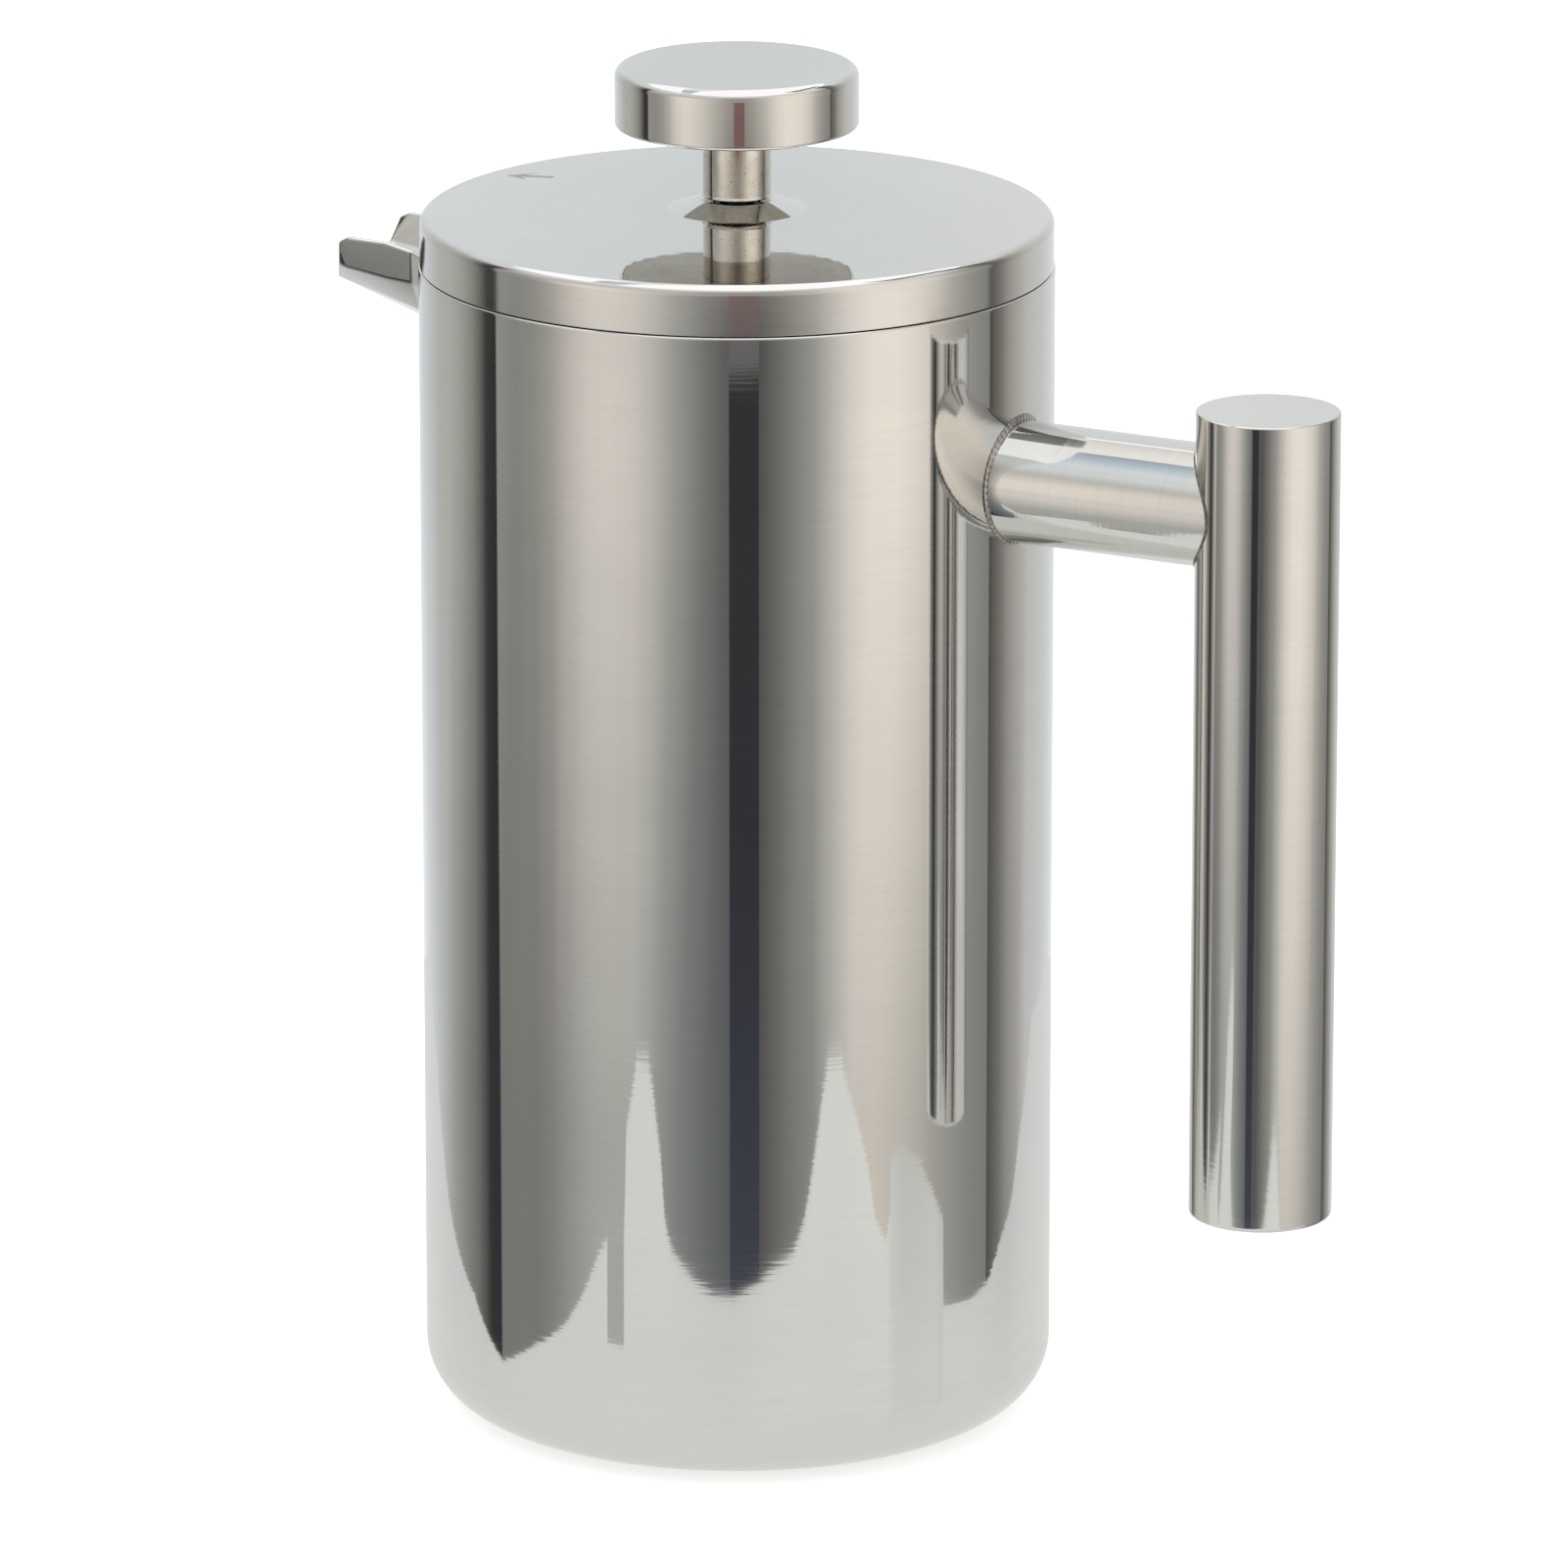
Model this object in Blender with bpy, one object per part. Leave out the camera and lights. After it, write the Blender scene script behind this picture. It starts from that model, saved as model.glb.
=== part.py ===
"""A double-wall stainless steel french press, built piece by piece.

Metres, +Z up. The origin is the middle of the flat base. The handle is towards +X, the spout towards -X,
and the plunger is pressed all the way down.
"""

import math

import bmesh
import bpy
from mathutils import Matrix, Vector

GAP = 0.0003  # left between pieces that touch

# Pot
POT_RADIUS = 0.050
POT_TOP = 0.1862
POT_CORNER = 0.0104
WALL = 0.0008
FOOT_LIFT = 0.0003  # the outer wall's foot stands this far above the base plate
BASE_PLATE_RADIUS = 0.0337
LINER_RADIUS = 0.0460
LINER_FLOOR = 0.0050
LINER_CORNER = 0.0080
RIM_TOP = 0.1860
RIM_RADIUS = POT_RADIUS - WALL - GAP

# Spout: half a cross-section at each of three places, as (half width, height) from the rim to the keel
SPOUT_WALL = 0.0010
SPOUT_ROOT = ((0.0132, 0.1838), (0.0118, 0.1786), (0.0076, 0.1729), (0.0, 0.1692))
SPOUT_NECK = ((0.0108, 0.1843), (0.0096, 0.1789), (0.0060, 0.1735), (0.0, 0.1702))
SPOUT_MOUTH = ((0.0103, 0.1852), (0.0085, 0.1802), (0.0052, 0.1774), (0.0, 0.1757))
SPOUT_NECK_X = (-0.0529, -0.0533, -0.0536, -0.0537)
SPOUT_MOUTH_X = (-0.0662, -0.0676, -0.0696, -0.0711)
SPOUT_INSET = 0.0030  # how far the sheet starts inside the liner, before it is trimmed
SPOUT_FLARE = 0.0006  # the root section sits this far outside the wall
NOTCH_X = (-0.056, -0.040)
LINER_NOTCH_X = (-0.0521, -0.0401)
RIM_NOTCH_X = (-0.0532, -0.0402)

# Handle
ARM_RADIUS = 0.0096
ARM_HEIGHT = 0.1570
TUBE_WALL = 0.0010
GRIP_REACH = 0.0930
GRIP_RADIUS = 0.01123
GRIP_BOTTOM = 0.0440
GRIP_TOP = 0.1733
GRIP_TOP_EDGE = 0.0003
GRIP_BOTTOM_EDGE = 0.0006
CAP_THICKNESS = 0.0015
BEAD_RADIUS = 0.0006

# Lid
LID_RADIUS = 0.0498
LID_BOTTOM = 0.1865
LID_TOP = 0.1942
LID_EDGE = 0.0015
CROWN_HEIGHT = 0.0010  # the top rises this much from its edge to the boss
BOSS_BASE_RADIUS = 0.0110
BOSS_TOP_RADIUS = 0.0060
BOSS_TOP = 0.1968
BOSS_HOLE = 0.0037
SKIRT_RADIUS = 0.0436
SKIRT_WALL = 0.0007
SKIRT_BOTTOM = 0.1660
SKIRT_FLANGE_RADIUS = LID_RADIUS - WALL - GAP
SEAL_RADIUS = 0.0449
SEAL_HEIGHT = 0.0020
SEAL_LIFT = 0.0008  # above the skirt's lower edge
SEAL_LIP = 0.0003
WINDOW_HALF_WIDTH = 0.0140
WINDOW_BOTTOM = 0.1715
WINDOW_TOP = 0.1835
WINDOW_X = (-0.0505, -0.0353)
STRAINER_HALF_ANGLE = math.radians(23)
STRAINER_HOLE_RADIUS = 0.0008
BUSH_BORE = 0.0028
BUSH_RADIUS = 0.0034
BUSH_BOTTOM = 0.1850
BUSH_SHOULDER_RADIUS = 0.0075
BUSH_SHOULDER = 0.0012
BUSH_NUT_FLATS = 0.0110
BUSH_NUT_HEIGHT = 0.0035

# Plunger
ROD_RADIUS = 0.0025
ROD_BOTTOM = 0.0100
ROD_TOP = 0.2140
ROD_BORE = ROD_RADIUS + GAP
KNOB_RADIUS = 0.01915
KNOB_BOTTOM = 0.2084
KNOB_TOP = 0.2180
KNOB_EDGE = 0.0017
KNOB_OPENING = 0.0152
NECK_RADIUS = 0.00545
NECK_BOTTOM = 0.1972
NECK_LIP = 0.0002
HUB_RADIUS = 0.0065
COLLAR_FOOT_RADIUS = 0.0070
COLLAR_FOOT = 0.0012
COLLAR_RADIUS = 0.0042
COLLAR_SLOPE_TOP = 0.0025
COLLAR_HEIGHT = 0.0058
SCREEN_RADIUS = 0.0446
SCREEN_THICKNESS = 0.0004
SCREEN_BOTTOM = 0.0146
SCREEN_EDGE_TOP = 0.0200
SCREEN_FOLD = 0.0008
CROSS_PLATE_RADIUS = 0.0400
SPREADER_RADIUS = 0.0406
PLATE_THICKNESS = 0.0008
SPREADER_RIM_WIDTH = 0.0018
SPREADER_RIM_HEIGHT = 0.0024
SPREADER_HOLES = ((6, 0.0130), (10, 0.0220), (12, 0.0310))  # how many, on what radius
SPREADER_HOLE_RADIUS = 0.0024
CROSS_PLATE_HOLES = ((4, 0.0150), (8, 0.0240), (12, 0.0330))
CROSS_PLATE_HOLE_RADIUS = 0.0036
HUB_NUT_FLATS = 0.0120
HUB_NUT_HEIGHT = 0.0040
SPRING_RING_RADIUS = 0.0424
SPRING_COIL_RADIUS = 0.0013

LARGE = 48  # flats round a large turned piece
MEDIUM = 32
SMALL = 20


def clear_scene():
    for thing in list(bpy.data.objects):
        bpy.data.objects.remove(thing, do_unlink=True)


def material(name, colour, roughness, metallic):
    made = bpy.data.materials.new(name)
    made.use_nodes = True
    shader = made.node_tree.nodes["Principled BSDF"]
    shader.inputs["Base Color"].default_value = (*colour, 1.0)
    shader.inputs["Roughness"].default_value = roughness
    shader.inputs["Metallic"].default_value = metallic
    made.diffuse_color = (*colour, 1.0)
    return made


def finish_object(thing, made_of, parent):
    """Gives a piece its material, its parent and smooth shading that keeps real edges sharp."""
    thing.data.materials.append(made_of)
    thing.parent = parent
    if thing.type == "MESH":
        thing.data.shade_smooth()
        thing.data.set_sharp_from_angle(angle=math.radians(35))
    return thing


def mesh_object(name, shape):
    """Turns a bmesh into an object with its faces pointing out."""
    bmesh.ops.recalc_face_normals(shape, faces=shape.faces)
    mesh = bpy.data.meshes.new(name)
    shape.to_mesh(mesh)
    shape.free()
    thing = bpy.data.objects.new(name, mesh)
    bpy.context.collection.objects.link(thing)
    return thing


def arc(centre_r, centre_z, radius, start, end, steps):
    """Points on an arc in the (r, z) half plane, with angles in degrees from +r towards +z."""
    angles = [math.radians(start + (end - start) * i / steps) for i in range(steps + 1)]
    return [(centre_r + radius * math.cos(a), centre_z + radius * math.sin(a)) for a in angles]


def turned(name, outline, flats):
    """Spins an outline of (r, z) points round Z. One that starts and ends on the axis stays open there."""
    shape = bmesh.new()
    ring = [shape.verts.new((r, 0, z)) for r, z in outline]
    edges = [shape.edges.new(pair) for pair in zip(ring, ring[1:])]
    if outline[0][0] > 0:
        edges.append(shape.edges.new((ring[-1], ring[0])))
    bmesh.ops.spin(
        shape, geom=ring + edges, cent=(0, 0, 0), axis=(0, 0, 1), angle=math.tau, steps=flats, use_merge=True
    )
    bmesh.ops.remove_doubles(shape, verts=shape.verts, dist=1e-7)
    return mesh_object(name, shape)


def ring_outline(inner, outer, bottom, top):
    return [(inner, bottom), (outer, bottom), (outer, top), (inner, top)]


def disc_outline(radius, bottom, top):
    return [(0, bottom), (radius, bottom), (radius, top), (0, top)]


def upright_cylinders(name, places, radius, bottom, top, flats):
    """One mesh of separate cylinders along Z, for cutting holes."""
    shape = bmesh.new()
    for x, y in places:
        move = Matrix.Translation((x, y, (bottom + top) / 2))
        bmesh.ops.create_cone(
            shape, cap_ends=True, segments=flats, radius1=radius, radius2=radius, depth=top - bottom, matrix=move
        )
    return mesh_object(name, shape)


def box(name, low, high):
    shape = bmesh.new()
    size = Vector(high) - Vector(low)
    middle = (Vector(high) + Vector(low)) / 2
    bmesh.ops.create_cube(shape, size=1, matrix=Matrix.Translation(middle) @ Matrix.Diagonal((*size, 1)))
    return mesh_object(name, shape)


def cut(thing, cutter):
    """Cuts with an object that stays in the file as a hidden wire."""
    cutter.hide_render = True
    cutter.display_type = "WIRE"
    boolean = thing.modifiers.new(cutter.name, "BOOLEAN")
    boolean.operation = "DIFFERENCE"
    boolean.object = cutter
    boolean.solver = "EXACT"


def prism_along_x(name, section, start, end):
    """A closed (y, z) section carried from one x to another."""
    shape = bmesh.new()
    near = [shape.verts.new((start, y, z)) for y, z in section]
    far = [shape.verts.new((end, y, z)) for y, z in section]
    count = len(section)
    shape.faces.new(near)
    shape.faces.new(reversed(far))
    for i in range(count):
        j = (i + 1) % count
        shape.faces.new((near[i], far[i], far[j], near[j]))
    return mesh_object(name, shape)


# ---------------------------------------------------------------- pot


def notch_section(offset):
    """The spout's root section, moved out by an offset and closed above the rim."""
    above = POT_TOP + 0.010
    half = [(y + offset, z) for y, z in SPOUT_ROOT[:-1]]
    keel = (0.0, SPOUT_ROOT[-1][1] - offset)
    half[2] = (half[2][0], half[2][1] - offset)
    left = [(half[0][0], above)] + half + [keel]
    return left + [(-y, z) for y, z in reversed(left[:-1])]


def make_outer_shell():
    inner_corner = POT_CORNER - WALL
    centre = (POT_RADIUS - POT_CORNER, FOOT_LIFT + POT_CORNER)
    lip = BASE_PLATE_RADIUS + GAP
    outline = [(POT_RADIUS, POT_TOP)]
    outline += arc(*centre, POT_CORNER, 0, -90, 7)
    outline += [(lip, FOOT_LIFT), (lip, FOOT_LIFT + WALL)]
    outline += arc(*centre, inner_corner, -90, 0, 5)
    outline += [(POT_RADIUS - WALL, POT_TOP)]
    shell = turned("outer_shell", outline, LARGE)
    cut(shell, prism_along_x("outer_notch", notch_section(GAP), *NOTCH_X))
    return shell


def make_inner_liner():
    inner = LINER_RADIUS - WALL
    centre = (LINER_RADIUS - LINER_CORNER, LINER_FLOOR + LINER_CORNER)
    outline = [(0, LINER_FLOOR)]
    outline += arc(*centre, LINER_CORNER, -90, 0, 5)
    outline += [(LINER_RADIUS, RIM_TOP - WALL), (RIM_RADIUS, RIM_TOP - WALL), (RIM_RADIUS, RIM_TOP)]
    outline += [(inner, RIM_TOP)]
    outline += arc(*centre, LINER_CORNER - WALL, 0, -90, 5)
    outline += [(0, LINER_FLOOR + WALL)]
    liner = turned("inner_liner", outline, LARGE)
    cut(liner, prism_along_x("liner_notch", notch_section(-SPOUT_WALL), *LINER_NOTCH_X))
    half_width = SPOUT_ROOT[0][0] + 2 * GAP
    low = (RIM_NOTCH_X[0], -half_width, RIM_TOP - WALL - GAP)
    high = (RIM_NOTCH_X[1], half_width, POT_TOP + 0.009)
    cut(liner, box("rim_notch", low, high))
    return liner


def make_base_plate():
    return turned("base_plate", disc_outline(BASE_PLATE_RADIUS, 0, WALL), LARGE)


def spout_half(section, x_of):
    return [Vector((x_of(i, y), y, z)) for i, (y, z) in enumerate(section)]


def make_spout():
    """A folded sheet: four stations from inside the wall to the mouth, thickened inwards."""

    def on_radius(radius):
        return lambda _, y: -math.sqrt(radius * radius - y * y)

    halves = [
        spout_half(SPOUT_ROOT, on_radius(LINER_RADIUS - SPOUT_INSET)),
        spout_half(SPOUT_ROOT, on_radius(POT_RADIUS + SPOUT_FLARE)),
        spout_half(SPOUT_NECK, lambda i, _: SPOUT_NECK_X[i]),
        spout_half(SPOUT_MOUTH, lambda i, _: SPOUT_MOUTH_X[i]),
    ]
    shape = bmesh.new()
    rows = []
    for half in halves:
        mirrored = [Vector((p.x, -p.y, p.z)) for p in reversed(half[:-1])]
        rows.append([shape.verts.new(p) for p in half + mirrored])
    for row, following in zip(rows, rows[1:]):
        for i in range(len(row) - 1):
            shape.faces.new((row[i], row[i + 1], following[i + 1], following[i]))
    spout = mesh_object("spout", shape)
    thicken = spout.modifiers.new("sheet", "SOLIDIFY")
    thicken.thickness = SPOUT_WALL
    thicken.offset = 1
    thicken.use_even_offset = True
    low, high = SPOUT_ROOT[-1][1] - 0.005, POT_TOP + 0.005
    cut(spout, upright_cylinders("spout_trim", [(0, 0)], LINER_RADIUS + GAP, low, high, 2 * LARGE))
    return spout


def upright_at(x, name, outline, flats):
    thing = turned(name, outline, flats)
    thing.location.x = x
    return thing


def make_grip():
    """The tube between the two end caps."""
    low, high = GRIP_BOTTOM + CAP_THICKNESS + GAP, GRIP_TOP - CAP_THICKNESS - GAP
    outline = ring_outline(GRIP_RADIUS - TUBE_WALL, GRIP_RADIUS, low, high)
    return upright_at(GRIP_REACH, "handle_grip", outline, MEDIUM)


def make_grip_cap(name, inner, outer, edge):
    """A disc as wide as the grip, with its outer edge broken."""
    step = math.copysign(edge, inner - outer)
    outline = [(0, inner), (GRIP_RADIUS, inner), (GRIP_RADIUS, outer + step), (GRIP_RADIUS - edge, outer), (0, outer)]
    return upright_at(GRIP_REACH, name, outline, MEDIUM)


def make_arm():
    """A tube along X whose two ends are coped to the pot and to the grip."""
    length = GRIP_REACH - POT_RADIUS + 0.010
    arm = turned("handle_arm", ring_outline(ARM_RADIUS - TUBE_WALL, ARM_RADIUS, 0, length), MEDIUM)
    arm.rotation_euler.y = math.pi / 2
    arm.location = (POT_RADIUS - 0.005, 0, ARM_HEIGHT)
    low, high = ARM_HEIGHT - 0.015, ARM_HEIGHT + 0.015
    cut(arm, upright_cylinders("pot_cope", [(0, 0)], POT_RADIUS + GAP, low, high, 2 * LARGE))
    cut(arm, upright_cylinders("grip_cope", [(GRIP_REACH, 0)], GRIP_RADIUS + GAP, low, high, 2 * MEDIUM))
    return arm


def make_bead(name, post_x, post_radius, side):
    """A weld bead round the arm, following the upright cylinder that the arm is welded to."""
    reach = ARM_RADIUS + GAP + BEAD_RADIUS
    clear = post_radius + GAP + BEAD_RADIUS
    curve = bpy.data.curves.new(name, "CURVE")
    curve.dimensions = "3D"
    curve.bevel_depth = BEAD_RADIUS
    curve.bevel_resolution = 1
    spline = curve.splines.new("POLY")
    spline.points.add(MEDIUM - 1)
    for i, point in enumerate(spline.points):
        angle = math.tau * i / MEDIUM
        y = reach * math.cos(angle)
        x = post_x + side * math.sqrt(clear * clear - y * y)
        point.co = (x, y, ARM_HEIGHT + reach * math.sin(angle), 1)
    spline.use_cyclic_u = True
    bead = bpy.data.objects.new(name, curve)
    bpy.context.collection.objects.link(bead)
    return bead


# ---------------------------------------------------------------- lid


def crown(radius):
    """How far the lid's top stands above its edge. It is flat in the middle and steepens outwards."""
    edge = LID_RADIUS - LID_EDGE
    return CROWN_HEIGHT * (1 - (radius / edge) ** 3)


def make_lid_shell():
    inner_radius = LID_RADIUS - WALL
    under = LID_TOP - WALL
    rings = (0.017, 0.024, 0.031, 0.038, 0.044)
    foot = crown(BOSS_BASE_RADIUS)
    outline = [(BOSS_HOLE, BOSS_TOP), (BOSS_HOLE, BOSS_TOP - WALL), (BOSS_TOP_RADIUS, BOSS_TOP - WALL)]
    outline += [(BOSS_BASE_RADIUS, under + foot)]
    outline += [(r, under + crown(r)) for r in rings[1::2]]
    outline += arc(inner_radius - LID_EDGE + WALL, LID_TOP - LID_EDGE, LID_EDGE - WALL, 90, 0, 3)
    outline += [(inner_radius, LID_BOTTOM), (LID_RADIUS, LID_BOTTOM)]
    outline += arc(LID_RADIUS - LID_EDGE, LID_TOP - LID_EDGE, LID_EDGE, 0, 90, 4)
    outline += [(r, LID_TOP + crown(r)) for r in reversed(rings)]
    outline += [(BOSS_BASE_RADIUS, LID_TOP + foot), (BOSS_TOP_RADIUS, BOSS_TOP)]
    return turned("lid_shell", outline, LARGE)


def make_lid_skirt():
    inner = SKIRT_RADIUS - SKIRT_WALL
    flange = LID_BOTTOM + 0.0001
    outline = [(inner, SKIRT_BOTTOM), (SKIRT_RADIUS, SKIRT_BOTTOM), (SKIRT_RADIUS, flange)]
    outline += [(SKIRT_FLANGE_RADIUS, flange), (SKIRT_FLANGE_RADIUS, flange + SKIRT_WALL)]
    outline += [(inner, flange + SKIRT_WALL)]
    skirt = turned("lid_skirt", outline, LARGE)
    low = (WINDOW_X[0], -WINDOW_HALF_WIDTH, WINDOW_BOTTOM)
    high = (WINDOW_X[1], WINDOW_HALF_WIDTH, WINDOW_TOP)
    cut(skirt, box("window_cutter", low, high))
    return skirt


def make_strainer():
    """A curved plate inside the window, with rows of round holes towards the spout."""
    outer = SKIRT_RADIUS - SKIRT_WALL - GAP
    inner = outer - SKIRT_WALL
    steps = 12
    low, high = WINDOW_BOTTOM - 0.002, WINDOW_TOP + 0.002
    shape = bmesh.new()
    rows = []
    for i in range(steps + 1):
        angle = math.pi - STRAINER_HALF_ANGLE + 2 * STRAINER_HALF_ANGLE * i / steps
        corners = ring_outline(inner, outer, low, high)
        rows.append([shape.verts.new((r * math.cos(angle), r * math.sin(angle), z)) for r, z in corners])
    shape.faces.new(rows[0])
    shape.faces.new(reversed(rows[-1]))
    for row, following in zip(rows, rows[1:]):
        for i in range(4):
            j = (i + 1) % 4
            shape.faces.new((row[i], following[i], following[j], row[j]))
    plate = mesh_object("lid_strainer", shape)
    cut(plate, strainer_holes(outer, low, high))
    return plate


def strainer_holes(outer, low, high):
    """Short radial pins in staggered rows."""
    pins = bmesh.new()
    rows = 4
    for row in range(rows):
        count = 8 - row % 2
        height = low + (high - low) * (row + 1) / (rows + 1)
        for column in range(count):
            angle = math.pi + math.radians(4.6) * (column - (count - 1) / 2)
            place = Matrix.Translation((outer * math.cos(angle), outer * math.sin(angle), height))
            turn = Matrix.Rotation(angle, 4, "Z") @ Matrix.Rotation(math.pi / 2, 4, "Y")
            bmesh.ops.create_cone(
                pins,
                cap_ends=True,
                segments=6,
                radius1=STRAINER_HOLE_RADIUS,
                radius2=STRAINER_HOLE_RADIUS,
                depth=0.004,
                matrix=place @ turn,
            )
    return mesh_object("strainer_pins", pins)


def make_lid_seal():
    bottom = SKIRT_BOTTOM + SEAL_LIFT
    inner = SKIRT_RADIUS + GAP
    middle = bottom + SEAL_HEIGHT / 2
    outline = [(inner, bottom), (SEAL_RADIUS - SEAL_LIP, bottom), (SEAL_RADIUS, middle)]
    outline += [(SEAL_RADIUS - SEAL_LIP, bottom + SEAL_HEIGHT), (inner, bottom + SEAL_HEIGHT)]
    return turned("lid_seal", outline, LARGE)


def make_rod_bush():
    """A sleeve through the boss, with a shoulder that stops under the lid."""
    high = LID_TOP - WALL
    low = high - BUSH_SHOULDER
    outline = [(BUSH_BORE, BUSH_BOTTOM), (BUSH_RADIUS, BUSH_BOTTOM), (BUSH_RADIUS, low)]
    outline += [(BUSH_SHOULDER_RADIUS, low), (BUSH_SHOULDER_RADIUS, high), (BUSH_RADIUS, high)]
    outline += [(BUSH_RADIUS, BOSS_TOP), (BUSH_BORE, BOSS_TOP)]
    return turned("rod_bush", outline, SMALL)


def hexagon(name, across_flats, bore, bottom, top):
    """A six-sided nut on the axis."""
    shape = bmesh.new()
    corner = across_flats / math.sqrt(3)
    move = Matrix.Translation((0, 0, (bottom + top) / 2))
    bmesh.ops.create_cone(
        shape, cap_ends=True, segments=6, radius1=corner, radius2=corner, depth=top - bottom, matrix=move
    )
    nut = mesh_object(name, shape)
    cut(nut, upright_cylinders(name + "_bore", [(0, 0)], bore, bottom - 0.001, top + 0.001, SMALL))
    return nut


# ---------------------------------------------------------------- plunger


def make_knob_shell():
    centre = KNOB_RADIUS - KNOB_EDGE
    inner_edge = KNOB_EDGE - WALL
    outline = [(0, KNOB_TOP - WALL)]
    outline += arc(centre, KNOB_TOP - KNOB_EDGE, inner_edge, 90, 0, 3)
    outline += arc(centre, KNOB_BOTTOM + KNOB_EDGE, inner_edge, 0, -90, 3)
    outline += [(KNOB_OPENING, KNOB_BOTTOM + WALL), (KNOB_OPENING, KNOB_BOTTOM)]
    outline += arc(centre, KNOB_BOTTOM + KNOB_EDGE, KNOB_EDGE, -90, 0, 4)
    outline += arc(centre, KNOB_TOP - KNOB_EDGE, KNOB_EDGE, 0, 90, 4)
    outline += [(0, KNOB_TOP)]
    return turned("knob_shell", outline, MEDIUM)


def make_knob_underplate():
    outline = ring_outline(ROD_BORE, KNOB_OPENING - GAP, KNOB_BOTTOM, KNOB_BOTTOM + WALL)
    return turned("knob_underplate", outline, MEDIUM)


def make_knob_hub():
    bottom = KNOB_BOTTOM + WALL + GAP
    return turned("knob_hub", ring_outline(ROD_BORE, HUB_RADIUS, bottom, KNOB_TOP - WALL - GAP), SMALL)


def make_neck():
    """A tube with a small lip at the bottom end."""
    top = KNOB_BOTTOM - GAP
    lip_middle = NECK_BOTTOM + 1.5 * NECK_LIP
    lip_top = NECK_BOTTOM + 3 * NECK_LIP
    outline = [(ROD_BORE, NECK_BOTTOM), (NECK_RADIUS, NECK_BOTTOM), (NECK_RADIUS + NECK_LIP, lip_middle)]
    outline += [(NECK_RADIUS, lip_top), (NECK_RADIUS, top), (ROD_BORE, top)]
    return turned("knob_neck", outline, MEDIUM)


def make_rod():
    chamfer = 0.0005
    outline = [(0, ROD_BOTTOM), (ROD_RADIUS - chamfer, ROD_BOTTOM), (ROD_RADIUS, ROD_BOTTOM + chamfer)]
    outline += [(ROD_RADIUS, ROD_TOP - chamfer), (ROD_RADIUS - chamfer, ROD_TOP), (0, ROD_TOP)]
    return turned("plunger_rod", outline, SMALL)


def make_rod_collar(bottom):
    top = bottom + COLLAR_HEIGHT
    outline = [(ROD_BORE, bottom), (COLLAR_FOOT_RADIUS, bottom), (COLLAR_FOOT_RADIUS, bottom + COLLAR_FOOT)]
    outline += [(COLLAR_RADIUS, bottom + COLLAR_SLOPE_TOP), (COLLAR_RADIUS, top), (ROD_BORE, top)]
    return turned("rod_collar", outline, SMALL)


def hole_rings(rings):
    """Hole centres on concentric rings, from (count, radius) pairs."""
    places = []
    for count, radius in rings:
        for i in range(count):
            angle = math.tau * (i + 0.5) / count
            places.append((radius * math.cos(angle), radius * math.sin(angle)))
    return places


def make_spreader(bottom):
    """The upper plate, whose raised rim holds the spring out against the liner."""
    top = bottom + PLATE_THICKNESS
    bend = SPREADER_RADIUS - SPREADER_RIM_WIDTH
    outline = [(ROD_BORE, bottom), (bend, bottom), (SPREADER_RADIUS, bottom + SPREADER_RIM_HEIGHT)]
    outline += [(SPREADER_RADIUS - PLATE_THICKNESS, bottom + SPREADER_RIM_HEIGHT + GAP / 2)]
    outline += [(bend - PLATE_THICKNESS / 2, top), (ROD_BORE, top)]
    plate = turned("spreader_plate", outline, LARGE)
    holes = hole_rings(SPREADER_HOLES)
    cut(plate, upright_cylinders("spreader_holes", holes, SPREADER_HOLE_RADIUS, bottom - 0.002, top + 0.002, 8))
    return plate


def make_edge_spring(height):
    shape = bmesh.new()
    bmesh.ops.create_circle(
        shape,
        segments=8,
        radius=SPRING_COIL_RADIUS,
        matrix=Matrix.Translation((SPRING_RING_RADIUS, 0, height)) @ Matrix.Rotation(math.pi / 2, 4, "X"),
    )
    bmesh.ops.spin(
        shape, geom=shape.verts[:] + shape.edges[:], axis=(0, 0, 1), angle=math.tau, steps=LARGE, use_merge=True
    )
    bmesh.ops.remove_doubles(shape, verts=shape.verts, dist=1e-7)
    return mesh_object("edge_spring", shape)


def make_screen():
    inner = SCREEN_RADIUS - SCREEN_THICKNESS
    top = SCREEN_BOTTOM + SCREEN_THICKNESS
    inner_fold = SCREEN_FOLD - SCREEN_THICKNESS / 2
    outline = [(ROD_BORE, SCREEN_BOTTOM), (SCREEN_RADIUS - SCREEN_FOLD, SCREEN_BOTTOM)]
    outline += [(SCREEN_RADIUS, SCREEN_BOTTOM + SCREEN_FOLD), (SCREEN_RADIUS, SCREEN_EDGE_TOP)]
    outline += [(inner, SCREEN_EDGE_TOP), (inner, top + inner_fold), (inner - inner_fold, top), (ROD_BORE, top)]
    return turned("mesh_screen", outline, LARGE)


def make_cross_plate(top):
    bottom = top - PLATE_THICKNESS
    plate = turned("cross_plate", ring_outline(ROD_BORE, CROSS_PLATE_RADIUS, bottom, top), LARGE)
    holes = hole_rings(CROSS_PLATE_HOLES)
    cut(plate, upright_cylinders("cross_plate_holes", holes, CROSS_PLATE_HOLE_RADIUS, bottom - 0.002, top + 0.002, 8))
    return plate


def empty(name, location):
    thing = bpy.data.objects.new(name, None)
    thing.location = location
    bpy.context.collection.objects.link(thing)
    return thing


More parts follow.
